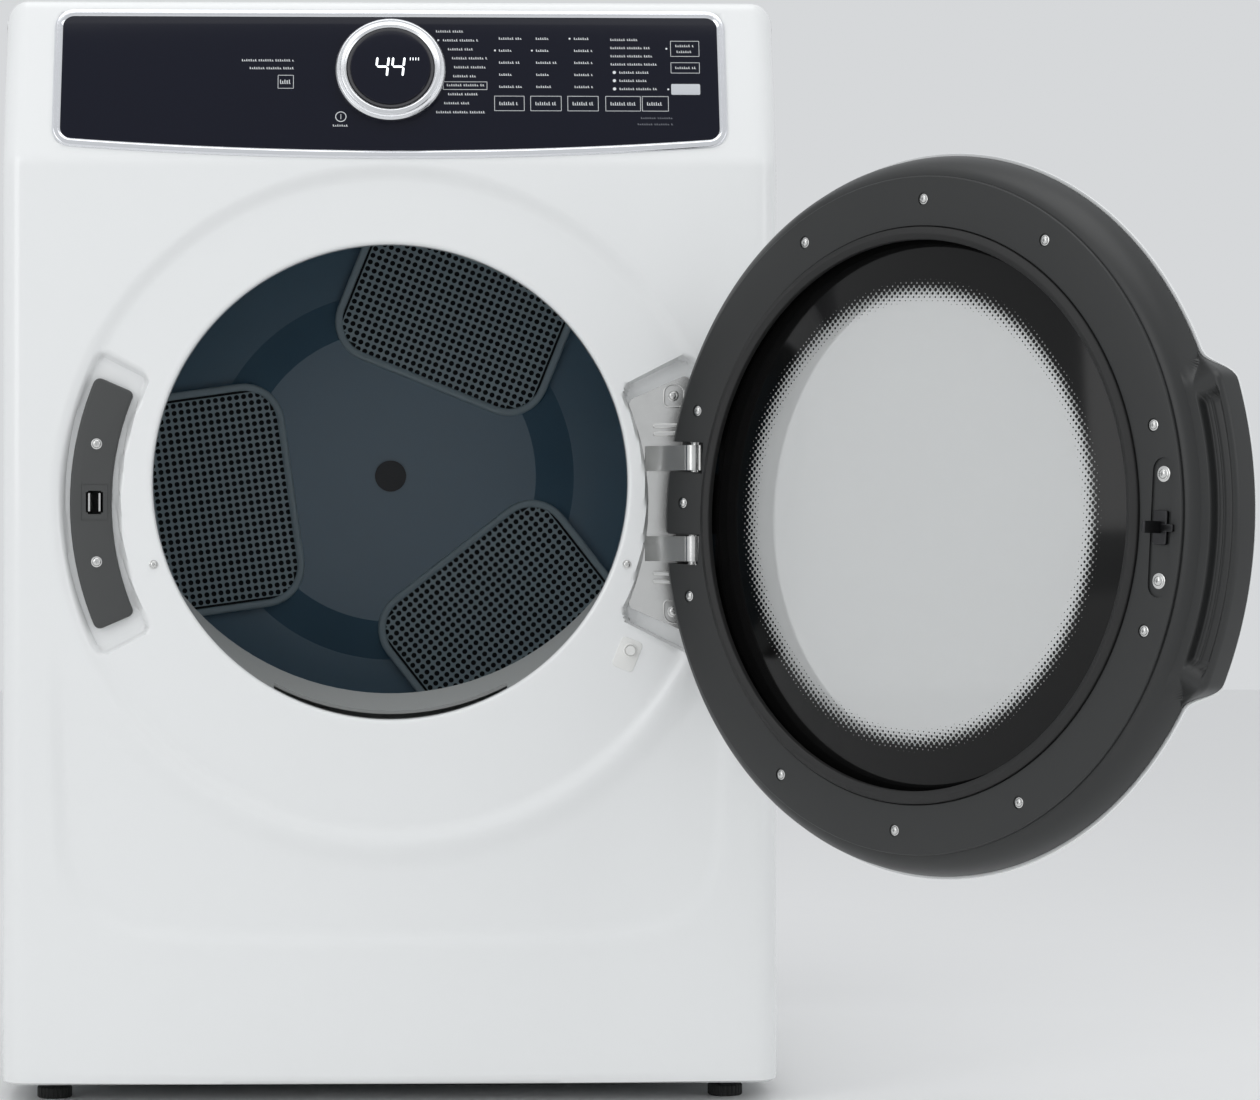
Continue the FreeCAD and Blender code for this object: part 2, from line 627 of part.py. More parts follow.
def heater_coil():
    """The flat-wound wire, as a ribbon that runs to and fro between its insulators."""
    near = REAR_BULKHEAD_Y + 16
    passes = []
    for step in range(8):
        angle = 120 + step * 15
        radius = 215
        x, z = polar(radius, angle, DRUM_Z)
        ux, uz = x / radius, (z - DRUM_Z) / radius
        start = V(x - ux * 55, near, z - uz * 55)
        end = V(x + ux * 55, near, z + uz * 55)
        passes.append(rod(3, start, end))
    for step in range(7):
        side = 55 if step % 2 == 0 else -55
        a = polar(215 + side, 120 + step * 15, DRUM_Z)
        b = polar(215 + side, 135 + step * 15, DRUM_Z)
        passes.append(rod(3, V(a[0], near, a[1]), V(b[0], near, b[1])))
    return passes[0].fuse(passes[1:]).removeSplitter()


# Drive and air --------------------------------------------------------------------------
def tangent_loop(circles, grow, y):
    """The outside loop round circles (x, z, radius), given in order, against the clock."""
    count = len(circles)
    touch = []
    for index in range(count):
        x0, z0, r0 = circles[index]
        x1, z1, r1 = circles[(index + 1) % count]
        dx, dz = x1 - x0, z1 - z0
        far = math.hypot(dx, dz)
        heading = math.atan2(dz, dx)
        normal = heading - math.pi / 2 + math.asin((r1 - r0) / far) * -1
        touch.append((normal, V(x0 + (r0 + grow) * math.cos(normal), y, z0 + (r0 + grow) * math.sin(normal)),
                      V(x1 + (r1 + grow) * math.cos(normal), y, z1 + (r1 + grow) * math.sin(normal))))
    edges = []
    for index in range(count):
        x, z, radius = circles[index]
        before = touch[index - 1]
        after = touch[index]
        turn = (after[0] - before[0]) % (2 * math.pi)
        middle = before[0] + turn / 2
        crown = V(x + (radius + grow) * math.cos(middle), y, z + (radius + grow) * math.sin(middle))
        edges.append(Part.Arc(before[2], crown, after[1]).toShape())
        edges.append(Part.makeLine(after[1], after[2]))
    return Part.Face(Part.Wire(edges))


def drive_belt():
    circles = [(0, DRUM_Z, DRUM_R + BELT_GAP), (IDLER_X, IDLER_Z, IDLER_R + BELT_GAP),
               (MOTOR_X, MOTOR_Z, PULLEY_R + BELT_GAP)]
    outside = tangent_loop(circles, BELT_THICK, BELT_Y - BELT_WIDTH / 2)
    inside = tangent_loop(circles, 0, BELT_Y - BELT_WIDTH / 2)
    return outside.cut(inside).extrude(V(0, BELT_WIDTH, 0))


def motor():
    body = rod_y(MOTOR_R, MOTOR_X, MOTOR_Z, -55, 38)
    caps = [rod_y(40, MOTOR_X, MOTOR_Z, -64, -54), rod_y(40, MOTOR_X, MOTOR_Z, 37, 46)]
    vents = []
    for step in range(10):
        x, z = polar(50, step * 36, MOTOR_Z)
        vents.append(rod_y(5, MOTOR_X + x, z, -56, -46))
    shape = body.fuse(caps).cut(vents)
    return shape.cut(rod_y(7.1, MOTOR_X, MOTOR_Z, -100, 100)).removeSplitter()


def motor_rotor():
    shaft = rod_y(7, MOTOR_X, MOTOR_Z, -118, BELT_Y + 10)
    groove = [(6.5, BELT_Y - 7), (PULLEY_R + 3, BELT_Y - 7), (PULLEY_R + 3, BELT_Y - 5),
              (PULLEY_R, BELT_Y - 5), (PULLEY_R, BELT_Y + 5), (PULLEY_R + 3, BELT_Y + 5),
              (PULLEY_R + 3, BELT_Y + 7), (6.5, BELT_Y + 7)]
    return shaft.fuse(turned_y(groove, MOTOR_X, MOTOR_Z)).removeSplitter()


def motor_bracket():
    foot = box(MOTOR_X - 60, MOTOR_X + 60, -50, 34, FLOOR_GAP + 35, FLOOR_GAP + 38)
    shape = foot
    for y in (-50, 31):
        cheek = box(MOTOR_X - 60, MOTOR_X + 60, y, y + 3, FLOOR_GAP + 35, MOTOR_Z - 30)
        shape = shape.fuse(cheek)
    shape = shape.cut(rod_y(MOTOR_R, MOTOR_X, MOTOR_Z, -100, 100))
    legs = [box(MOTOR_X - 60 + k * 110, MOTOR_X - 50 + k * 110, y, y + 10, 19, FLOOR_GAP + 35.5)
            for k in (0, 1) for y in (-76, 216)]
    spine = [box(MOTOR_X - 60 + k * 110, MOTOR_X - 50 + k * 110, -76, 226, FLOOR_GAP + 32, FLOOR_GAP + 35.5)
             for k in (0, 1)]
    return shape.fuse(legs).fuse(spine).removeSplitter()


def blower_wheel():
    hub = ring_y(16, 7.0, MOTOR_X, MOTOR_Z, -118, -92)
    plate = ring_y(76, 10, MOTOR_X, MOTOR_Z, -94, -91)
    rim = ring_y(76, 72, MOTOR_X, MOTOR_Z, -146, -141)
    blades = []
    for step in range(24):
        blade = box(62, 74, -144, -92, -1, 1)
        blade.rotate(V(68, 0, 0), V(0, 1, 0), 35)
        blade.rotate(V(0, 0, 0), V(0, 1, 0), step * 15)
        blade.translate(V(MOTOR_X, 0, MOTOR_Z))
        blades.append(blade)
    return hub.fuse([plate, rim] + blades).removeSplitter()


def blower_housing():
    def scroll(inset, y0, y1):
        drum = rod_y(88 - inset, MOTOR_X, MOTOR_Z, y0, y1)
        chute = box(DUCT_X - 56 + inset, MOTOR_X, y0, y1, MOTOR_Z - 88 + inset, MOTOR_Z + 12 - inset)
        return drum.fuse(chute)

    shell = scroll(0, -152, -80).cut(scroll(2, -150, -82))
    shell = shell.cut(rod_y(46, MOTOR_X, MOTOR_Z, -160, -149))
    shell = shell.cut(rod_y(18, MOTOR_X, MOTOR_Z, -90, -70))
    return shell.cut(rod_y(DUCT_R - 6, DUCT_X, DUCT_Z + 5, -90, -70)).removeSplitter()


def exhaust_duct():
    pipe = ring_y(DUCT_R, DUCT_R - SHEET, DUCT_X, DUCT_Z, -79.9, BACK + DUCT_PROUD)
    bead = ring_y(DUCT_R + 0.9, DUCT_R - SHEET, DUCT_X, DUCT_Z, BACK - 14, BACK)
    return pipe.fuse(bead).removeSplitter()


def idler_arm():
    pivot = V(IDLER_PIVOT_X, BELT_Y + 12, IDLER_PIVOT_Z)
    wheel = V(IDLER_X, BELT_Y + 12, IDLER_Z)
    along = (wheel - pivot).normalize()
    aside = V(-along.z, 0, along.x) * 8
    arm = prism([pivot + aside, wheel + aside, wheel - aside, pivot - aside], V(0, 3, 0))
    ends = [rod_y(11, pivot.x, pivot.z, BELT_Y + 12, BELT_Y + 15),
            rod_y(8, wheel.x, wheel.z, BELT_Y + 12, BELT_Y + 15)]
    axle = rod_y(4, wheel.x, wheel.z, BELT_Y - 10, BELT_Y + 13)
    return arm.fuse(ends).fuse(axle).cut(rod_y(5.05, pivot.x, pivot.z, 0, 200)).removeSplitter()


def idler_pulley():
    y = BELT_Y
    profile = [(4.06, y - 8), (9, y - 8), (9, y - 6), (IDLER_R + 3, y - 6), (IDLER_R + 3, y - 5),
               (IDLER_R, y - 5), (IDLER_R, y + 5), (IDLER_R + 3, y + 5), (IDLER_R + 3, y + 6),
               (9, y + 6), (9, y + 8), (4.06, y + 8)]
    return turned_y(profile, IDLER_X, IDLER_Z)


def idler_post():
    """The stand that carries the idler arm's pivot."""
    x, z = IDLER_PIVOT_X, IDLER_PIVOT_Z
    pin = rod_y(5, x, z, BELT_Y + 10, BELT_Y + 24).fuse(rod_y(8, x, z, BELT_Y + 9, BELT_Y + 11.5))
    post = box(x - 9, x + 9, BELT_Y + 16, BELT_Y + 19, 21, z + 9)
    foot = box(x - 9, x + 25, BELT_Y + 16, 230, 19, 21)
    return pin.fuse([post, foot]).removeSplitter()


# Services -------------------------------------------------------------------------------
def water_valve():
    x, z = WATER_SPOT
    thread = ring_y(13.2, 9, x, z, BACK - 8, BACK + 14)
    shoulder = ring_y(13.8, 9, x, z, BACK - 8, BACK)
    body = box(x - 17, x + 17, BACK - 50, BACK - 7, z - 17, z + 17)
    coil = rod_z(13, x, BACK - 30, z + 16.5, z + 48)
    return body.fuse([thread, shoulder, coil]).removeSplitter()


# Feet -----------------------------------------------------------------------------------
def foot(x, y):
    """A levelling foot: ribbed rubber pad, moulded on a threaded stud."""
    pad = rod_z(FOOT_R, x, y, 0, 12)
    pad = pad.makeFillet(0.6, [e for e in pad.Edges if e.BoundBox.ZLength < 0.01])
    ribs = []
    for step in range(24):
        rib = box(FOOT_R - 1.1, FOOT_R + 1, -0.8, 0.8, 5, 13)
        rib.rotate(V(0, 0, 0), V(0, 0, 1), step * 15)
        rib.translate(V(x, y, 0))
        ribs.append(rib)
    return pad.cut(ribs).fuse(rod_z(STUD_R, x, y, 11, 58)).removeSplitter()


def leg_nuts():
    """A lock nut on each stud, run up against the pan."""
    nuts = []
    for x in (-FOOT_X, FOOT_X):
        for y in (-FOOT_Y, FOOT_Y):
            corners = [V(x + 8 * math.cos(math.radians(a)), y + 8 * math.sin(math.radians(a)), 12.6)
                       for a in range(0, 360, 60)]
            nuts.append(prism(corners, V(0, 0, 4.3)).cut(rod_z(STUD_R + 0.1, x, y, 0, 60)))
    return Part.makeCompound(nuts)


# Door, modelled shut and then swung to its rest place -----------------------------------
def opened(shape):
    shape = shape.copy()
    shape.rotate(HINGE_POINT, HINGE_AXIS, DOOR_OPEN_DEG)
    return shape


def turned_door(profile):
    """A profile of (radius, depth in front of the ring plane) turned about the door's axis."""
    return turned_y([(radius, RING_Y - depth) for radius, depth in profile], 0, DOOR_Z)


def arm_slots():
    slots = []
    for low in (DOOR_Z - ARM_HIGH - 2.5, DOOR_Z + ARM_LOW - 2.5):
        high = low + ARM_HIGH - ARM_LOW + 5
        slots.append(box(240.5, 310, RING_Y - RIM_DEPTH + 0.5, RING_Y + 5, low, high))
    return slots


RING_SCREW_R = 262.0
RING_SCREW_DEGS = (0, 18, -18, 60, -60, 90, -90, 120, -120, 162, -162)
STRIKER_SPOTS = [(-261.0, 573.0), (-261.0, 489.0)]


def door_inner_ring():
    ring = turned_door([(227, 3.5), (239, 0.6), (241, 0), (RING_R - 1.5, 0), (RING_R, 1.5), (RING_R, 3.2),
                        (241, 3.2), (228, 7)])
    ring = ring.cut(rod_y(238, 0, DOOR_Z, RING_Y - 20, RING_Y - 4.5))
    knuckle = box(253.5, 281, RING_Y - 29, RING_Y - 2, DOOR_Z - 27.5, DOOR_Z + 27.5)
    shape = ring.fuse(knuckle).cut(hinge_rod(PIN_R + 0.1, 90)).cut(arm_slots())
    for x, z in [polar(RING_SCREW_R, a) for a in RING_SCREW_DEGS] + STRIKER_SPOTS:
        shape = shape.cut(rod_y(5.2, x, z, RING_Y - 1.2, RING_Y + 5))
        shape = shape.cut(rod_y(2.3, x, z, RING_Y - 14, RING_Y + 5))
    return shape.removeSplitter()


def door_seal():
    """The black gasket in the step between the ring and the glass."""
    return turned_door([(228.5, -2.6), (231, -4.0), (236, -4.0), (238.6, -2.2), (238.6, 0.4),
                        (228.5, 2.8)])


def door_glass():
    return rod_y(237.5, 0, DOOR_Z, RING_Y - 11.5, RING_Y - 7.2)


HANDLE_R = 326.0
HANDLE_HALF_DEG = 25.0


def handle_block(outer, depth0, depth1, half_deg):
    block = sector_y(outer, 270, 180, half_deg, DOOR_Z, RING_Y - depth1, RING_Y - depth0)
    posts = [e for e in block.Edges if abs(e.BoundBox.YLength - (depth1 - depth0)) < 0.01
             and e.BoundBox.XMin < -275]
    return block.makeFillet(18, posts)


def door_outer_shell():
    """The dark moulding: a flared wall from the ring to the rim, a web that carries the
    window, and the hollow block of the handle on the free side."""
    shape = turned_door([(RING_R - 4, 3.3), (RING_R - 0.2, 3.3), (DOOR_RIM_R, RIM_DEPTH),
                         (DOOR_RIM_R, RIM_DEPTH + 3), (232, RIM_DEPTH + 3), (232, RIM_DEPTH + 1),
                         (236, RIM_DEPTH), (DOOR_RIM_R - 4.5, RIM_DEPTH)])
    block = handle_block(HANDLE_R, 12, RIM_DEPTH + 3, HANDLE_HALF_DEG)
    scoop = handle_block(HANDLE_R - 9, 5, RIM_DEPTH - 2, HANDLE_HALF_DEG - 2)
    grip = block.cut(scoop).cut(rod_y(294, 0, DOOR_Z, RING_Y - RIM_DEPTH - 10, RING_Y))
    knuckle = box(253, 281.5, RING_Y - 29.5, RING_Y + 1, DOOR_Z - 28, DOOR_Z + 28)
    shape = shape.fuse(grip).cut(arm_slots()).cut(knuckle)
    bosses = [ring_y(4.5, 2.0, x, z, RING_Y - RIM_DEPTH - 1, RING_Y - 3.3)
              for x, z in [polar(RING_SCREW_R, a) for a in RING_SCREW_DEGS] if abs(x) < 250]
    return shape.fuse(bosses).removeSplitter()


def door_front_cover():
    """The white front: a domed ring that follows the rim and runs out over the handle."""
    low = RIM_DEPTH + 3.2
    profile = [(DOOR_RIM_R + 0.5, low), (DOOR_RIM_R + 0.5, low + 3), (290, low + 8), (262, low + 16),
               (225, low + 22), (204, low + 23.5), (204, low + 20.5), (225, low + 19), (260, low + 13),
               (288, low + 5.5), (297, low + 1.5), (297, low)]
    shape = turned_door(profile)
    grip = handle_block(HANDLE_R + 0.5, low, low + 4, HANDLE_HALF_DEG + 0.2)
    grip = grip.cut(rod_y(298, 0, DOOR_Z, RING_Y - 100, RING_Y))
    return shape.fuse(grip).removeSplitter()


def door_window():
    """The outer window: a shallow clear dome."""
    low = RIM_DEPTH + 3.2
    outer = [(203.6, low + 19.5), (203.6, low + 23.3), (150, low + 26), (80, low + 28), (0, low + 28.5)]
    inner = [(0, low + 24.5), (80, low + 24), (150, low + 22), (196, low + 19.5)]
    return turned_door(outer + inner)


def rear_facing_screw(x, z, y, head_r, length):
    return screw_y(x, z, y, head_r, length).mirror(V(0, y, 0), V(0, 1, 0))


def door_screws():
    """The ring's screws and the two larger ones of the striker."""
    screws = [rear_facing_screw(x, z, RING_Y - 1.2, 4.4, 9)
              for x, z in [polar(RING_SCREW_R, a) for a in RING_SCREW_DEGS]]
    screws += [rear_facing_screw(x, z, RING_Y - 1.2, 5.0, 12) for x, z in STRIKER_SPOTS]
    return Part.makeCompound(screws)


def door_striker():
    """The hook that the catch takes hold of, on its base plate."""
    base = box(-268, -254, RING_Y, RING_Y + 2, 517, 545)
    blade = box(-262.6, -259.4, RING_Y + 1, RING_Y + 22, 524, 538)
    notch = box(-270, -250, RING_Y + 9, RING_Y + 14, 520, 531)
    return base.fuse(blade).cut(notch).removeSplitter()


# Build ----------------------------------------------------------------------------------
NODES = {
    "front_panel": front_panel,
    "left_side_panel": lambda: side_panel(-1),
    "right_side_panel": lambda: side_panel(1),
    "top_panel": top_panel,
    "rear_panel": rear_panel,
    "base_frame": base_frame,
    "console_housing": console_housing,
    "fascia_trim": fascia_trim,
    "control_fascia": control_fascia,
    "dial_ring": dial_ring,
    "display_barrel": display_barrel,
    "display_lens": display_lens,
    "control_board": control_board,
    "latch_plate": latch_plate,
    "latch_housing": latch_housing,
    "latch_jaw_left": lambda: latch_jaw(-1),
    "latch_jaw_right": lambda: latch_jaw(1),
    "hinge_bracket": hinge_bracket,
    "hinge_pin": hinge_pin,
    "door_switch_plunger": door_switch_plunger,
    "panel_screws": panel_screws,
    "front_bulkhead": front_bulkhead,
    "lint_filter": lint_filter,
    "lint_duct": lint_duct,
    "front_drum_seal": front_drum_seal,
    "moisture_bars": moisture_bars,
    "drum_shell": drum_shell,
    "drum_back": drum_back,
    "drum_grilles": drum_grilles,
    "drum_vanes": drum_vanes,
    "drum_shaft": drum_shaft,
    "rear_bulkhead": rear_bulkhead,
    "rear_bearing": rear_bearing,
    "rear_drum_seal": rear_drum_seal,
    "heater_housing": heater_housing,
    "heater_coil": heater_coil,
    "drive_belt": drive_belt,
    "motor": motor,
    "motor_rotor": motor_rotor,
    "motor_bracket": motor_bracket,
    "blower_wheel": blower_wheel,
    "blower_housing": blower_housing,
    "exhaust_duct": exhaust_duct,
    "idler_arm": idler_arm,
    "idler_pulley": idler_pulley,
    "idler_post": idler_post,
    "water_valve": water_valve,
    "leg_nuts": leg_nuts,
}
for name, maker in NODES.items():
    write(name, maker())

FEET = {"foot_front_left": (-1, -1), "foot_front_right": (1, -1),
        "foot_rear_left": (-1, 1), "foot_rear_right": (1, 1)}
for name, (side, end) in FEET.items():
    write(name, foot(side * FOOT_X, end * FOOT_Y))

DOOR_NODES = {
    "door_inner_ring": door_inner_ring,
    "door_seal": door_seal,
    "door_glass": door_glass,
    "door_outer_shell": door_outer_shell,
    "door_front_cover": door_front_cover,
    "door_window": door_window,
    "door_screws": door_screws,
    "door_striker": door_striker,
}
for name, maker in DOOR_NODES.items():
    write(name, opened(maker()))
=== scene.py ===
# %% [markdown]
# A clothes dryer with its round door swung open. The CAD model already fixes where every
# piece is and how it moves. This notebook gives the pieces their looks. Hidden sheet metal
# keeps its CAD shape and gets a real finish; much that a hand or an eye meets first, such as
# the front, the door, the fascia and the drum's grilles, is made again here in finer form.

# %% Load the frame
import json
import math
import bpy
import bmesh
from mathutils import Matrix, Vector


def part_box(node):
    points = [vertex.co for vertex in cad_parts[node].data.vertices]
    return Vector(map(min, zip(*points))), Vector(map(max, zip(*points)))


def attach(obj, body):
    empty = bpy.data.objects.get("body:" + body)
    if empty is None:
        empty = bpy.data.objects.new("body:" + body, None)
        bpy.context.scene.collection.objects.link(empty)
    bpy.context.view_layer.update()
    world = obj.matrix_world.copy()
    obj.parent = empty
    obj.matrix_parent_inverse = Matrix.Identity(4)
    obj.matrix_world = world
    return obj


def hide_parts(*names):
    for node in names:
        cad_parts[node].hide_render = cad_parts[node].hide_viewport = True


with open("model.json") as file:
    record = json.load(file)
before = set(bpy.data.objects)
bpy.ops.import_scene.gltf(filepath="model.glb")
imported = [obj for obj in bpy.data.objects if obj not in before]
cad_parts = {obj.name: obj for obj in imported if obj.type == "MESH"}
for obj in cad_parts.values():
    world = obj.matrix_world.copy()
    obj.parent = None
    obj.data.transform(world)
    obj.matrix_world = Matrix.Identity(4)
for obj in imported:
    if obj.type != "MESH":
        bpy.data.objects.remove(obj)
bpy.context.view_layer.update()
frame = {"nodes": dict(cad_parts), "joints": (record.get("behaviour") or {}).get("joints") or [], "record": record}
joints = {joint["name"]: joint for joint in frame["joints"]}
print("pieces in the frame:", len(frame["nodes"]), "joints:", sorted(joints))

# %% [markdown]
# The main sizes come from the frame's boxes, in metres: the front plane of the cabinet, its
# half width, the top, the door's centre and the drum's axis. Much of what follows is placed
# from these few numbers, and moves with them when the CAD model changes; many smaller
# places further down are given as fixed numbers.

# %% Sizes read from the frame
front_low, front_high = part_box("front_panel")
FRONT = front_low[1]
HALF = front_high[0]
SEAM = front_high[1]
TOP = front_high[2]
BOTTOM = front_low[2]
hinge = joints["door_hinge"]
DOOR_Z = hinge["pos_m"][2]
drum_low, drum_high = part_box("drum_shell")
DRUM_Z = (drum_low[2] + drum_high[2]) / 2
OPENING_R = 0.210
OPENING_Z = DOOR_Z + 0.019
EDGE_R = 0.020
BEND_Z = 0.832
SLOPE = math.radians(18)
print("front plane", round(FRONT, 4), "half width", round(HALF, 4), "drum axis", round(DRUM_Z, 4))

# %% [markdown]
# Most finishes on an appliance are one colour with faint life in it: the enamel has a fine
# orange peel, moulded plastic has a spark-eroded grain, plated steel is a little cloudy. One
# function builds them all from noise in object space: noise moves the colour and the
# roughness by a few percent and lifts a very low bump. Constant values sit on the shader.

# %% Finishes
def finish(name, colour, roughness, metal=0.0, coat=0.0, grain=600.0, bump=0.00002,
           drift=0.04, cloud=9.0, stretch=(1, 1, 1)):
    """A procedural finish; grain is in ripples per metre, bump in metres, drift a share."""
    material = bpy.data.materials.new(name)
    material.use_nodes = True
    tree = material.node_tree
    shader = tree.nodes["Principled BSDF"]
    shader.inputs["Metallic"].default_value = metal
    shader.inputs["Coat Weight"].default_value = coat
    shader.inputs["Coat Roughness"].default_value = 0.08
    place = tree.nodes.new("ShaderNodeTexCoord")
    scale = tree.nodes.new("ShaderNodeMapping")
    scale.inputs["Scale"].default_value = stretch
    tree.links.new(place.outputs["Object"], scale.inputs["Vector"])
    clouds = tree.nodes.new("ShaderNodeTexNoise")
    clouds.inputs["Scale"].default_value = cloud
    clouds.inputs["Detail"].default_value = 4
    fine = tree.nodes.new("ShaderNodeTexNoise")
    fine.inputs["Scale"].default_value = grain
    fine.inputs["Detail"].default_value = 3
    for noise in (clouds, fine):
        tree.links.new(scale.outputs["Vector"], noise.inputs["Vector"])
    tint = tree.nodes.new("ShaderNodeMix")
    tint.data_type = "RGBA"
    tint.inputs[6].default_value = tuple(c * (1 - drift) for c in colour) + (1,)
    tint.inputs[7].default_value = tuple(min(1, c * (1 + drift)) for c in colour) + (1,)
    tree.links.new(clouds.outputs["Fac"], tint.inputs[0])
    tree.links.new(tint.outputs[2], shader.inputs["Base Color"])
    gloss = tree.nodes.new("ShaderNodeMapRange")
    gloss.inputs["To Min"].default_value = roughness * 0.85
    gloss.inputs["To Max"].default_value = min(1, roughness * 1.15)
    tree.links.new(fine.outputs["Fac"], gloss.inputs["Value"])
    tree.links.new(gloss.outputs["Result"], shader.inputs["Roughness"])
    relief = tree.nodes.new("ShaderNodeBump")
    relief.inputs["Distance"].default_value = bump
    tree.links.new(fine.outputs["Fac"], relief.inputs["Height"])
    tree.links.new(relief.outputs["Normal"], shader.inputs["Normal"])
    return material


enamel = finish("white_enamel", (0.83, 0.84, 0.84), 0.24, coat=0.35, grain=420, drift=0.006)
galvanised = finish("galvanised_sheet", (0.56, 0.58, 0.59), 0.42, metal=1, grain=160, drift=0.10, cloud=60)
white_plastic = finish("white_plastic", (0.80, 0.80, 0.78), 0.35, grain=900, drift=0.01)
charcoal = finish("charcoal_plastic", (0.052, 0.054, 0.054), 0.48, grain=1800, bump=0.00004, drift=0.05)
door_plastic = finish("door_charcoal_plastic", (0.020, 0.021, 0.021), 0.42, grain=2200, bump=0.00003)
plated = finish("plated_steel", (0.66, 0.66, 0.65), 0.24, metal=1, grain=300, drift=0.08, cloud=80)
trim_metal = finish("bright_trim", (0.80, 0.81, 0.84), 0.16, metal=1, grain=500, stretch=(0.05, 1, 1))
dial_metal = finish("turned_aluminium", (0.78, 0.79, 0.81), 0.24, metal=1, grain=1500)
fascia_black = finish("fascia_black", (0.004, 0.005, 0.013), 0.12, grain=200, bump=0.000004)
fascia_black.node_tree.nodes["Principled BSDF"].inputs["Specular IOR Level"].default_value = 0.22
drum_enamel = finish("drum_enamel", (0.155, 0.270, 0.360), 0.30, coat=0.3, grain=500, drift=0.06)
grille_grey = finish("grille_grey", (0.52, 0.62, 0.65), 0.42, grain=900, drift=0.06)
vane_plastic = finish("vane_plastic", (0.14, 0.15, 0.16), 0.45, grain=1500)
felt = finish("felt", (0.28, 0.27, 0.25), 0.95, grain=3500, bump=0.0004, drift=0.15, cloud=200)
rubber = finish("black_rubber", (0.012, 0.012, 0.012), 0.62, grain=1200, bump=0.00005, drift=0.1)
motor_black = finish("motor_black", (0.045, 0.045, 0.05), 0.45, grain=700)
board_green = finish("board_green", (0.02, 0.13, 0.05), 0.35, grain=1500, cloud=120, drift=0.2)
heater_wire = finish("heater_wire", (0.30, 0.26, 0.24), 0.45, metal=1, grain=900, drift=0.2)
screen_grey = finish("filter_screen", (0.10, 0.105, 0.11), 0.5, grain=2500, bump=0.0001)
ink = finish("fascia_ink", (0.72, 0.74, 0.76), 0.5, grain=900, drift=0.02)
key_silver = finish("key_silver", (0.55, 0.57, 0.60), 0.35, grain=900, drift=0.02)
print("finishes:", len(bpy.data.materials))

# %% [markdown]
# The CAD nodes that stay visible take their finish by material slot, so that each node
# gets the one that the record names for it.

# %% Dress the CAD nodes
slot_finish = {
    "cabinet_paint": enamel, "zinc_steel": galvanised, "white_plastic": white_plastic,
    "bright_trim": trim_metal, "fascia_gloss": fascia_black, "dial_metal": dial_metal,
    "display_glass": fascia_black, "circuit_board": board_green, "charcoal_plastic": charcoal,
    "plated_steel": plated, "filter_screen": screen_grey, "felt": felt,
    "drum_paint": drum_enamel, "grille_paint": grille_grey, "vane_plastic": vane_plastic,
    "heater_wire": heater_wire, "belt_rubber": rubber, "motor_paint": motor_black,
    "door_charcoal": door_plastic, "seal_rubber": rubber, "inner_glass": charcoal,
    "outer_glass": charcoal, "foot_rubber": rubber,
}
for part in frame["record"]["subparts"]:
    node = frame["nodes"][part["node"]]
    for place in node.material_slots:
        place.material = slot_finish[part["material_slot"]]
throat_grey = finish("throat_grey", (0.34, 0.35, 0.345), 0.5, grain=1500, bump=0.00003)
for place in frame["nodes"]["front_bulkhead"].material_slots:
    place.material = throat_grey
for place in frame["nodes"]["drum_shaft"].material_slots:
    place.material = motor_black

# %% [markdown]
# A few small tools make all the fine pieces. `round_corners` turns an outline whose points
# carry a corner radius into a smooth one; `turned_mesh` spins a profile like a lathe, and
# `slab_mesh` pushes an outline out into a plate with a rounded edge. A piece that belongs to the door
# is made with the door shut and then carried to its rest place by the hinge's own turn.

# %% Tools for making pieces
def round_corners(points, steps=5, closed=True):
    """Points are (a, b, radius); each corner becomes an arc of that radius."""
    smooth = []
    count = len(points)
    for index, (a, b, radius) in enumerate(points):
        ends = not closed and index in (0, count - 1)
        if radius <= 0 or ends:
            smooth.append((a, b))
            continue
        here = Vector((a, b))
        into = Vector(points[index - 1][:2]) - here
        away = Vector(points[(index + 1) % count][:2]) - here
        half = into.angle(away) / 2
        cut = min(radius / math.tan(half), into.length * 0.49, away.length * 0.49)
        radius = cut * math.tan(half)
        start, end = here + into.normalized() * cut, here + away.normalized() * cut
        centre = here + (into.normalized() + away.normalized()).normalized() * radius / math.sin(half)
        first, last = start - centre, end - centre
        sweep = first.angle_signed(last)
        for step in range(steps + 1):
            turn = Matrix.Rotation(-sweep * step / steps, 2)
            smooth.append(tuple(centre + turn @ first))
    return smooth


def piece(name, points, faces, material, body, slot, hides=(), crease=32):
    """Makes the object, shades it smooth with sharp creases, hangs it under its body's empty and hides the CAD
    nodes it stands in for.
    """
    mesh = bpy.data.meshes.new(name)
    mesh.from_pydata([tuple(p) for p in points], [], faces)
    shape = bmesh.new()
    shape.from_mesh(mesh)
    bmesh.ops.remove_doubles(shape, verts=shape.verts, dist=0.000004)
    bmesh.ops.recalc_face_normals(shape, faces=shape.faces)
    shape.to_mesh(mesh)
    shape.free()
    mesh.materials.append(material)
    mesh.shade_smooth()
    mesh.set_sharp_from_angle(angle=math.radians(crease))
    made = bpy.data.objects.new(name, mesh)
    bpy.context.scene.collection.objects.link(made)
    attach(made, body)
    if hides:
        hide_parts(*hides)
    return made


def turned_mesh(profile, centre, across, along, segments=160, loop=True):
    """A profile of (radius, height) turned about the line through centre in direction along."""
    up = Vector(along).normalized()
    side = Vector(across).normalized()
    third = up.cross(side)
    points, faces = [], []
    for index in range(segments):
        angle = 2 * math.pi * index / segments
        spoke = side * math.cos(angle) + third * math.sin(angle)
        points += [Vector(centre) + spoke * radius + up * height for radius, height in profile]
    count = len(profile)
    for index in range(segments):
        after = (index + 1) % segments
        for k in range(count if loop else count - 1):
            n = (k + 1) % count
            faces.append((index * count + k, index * count + n, after * count + n, after * count + k))
    return points, faces


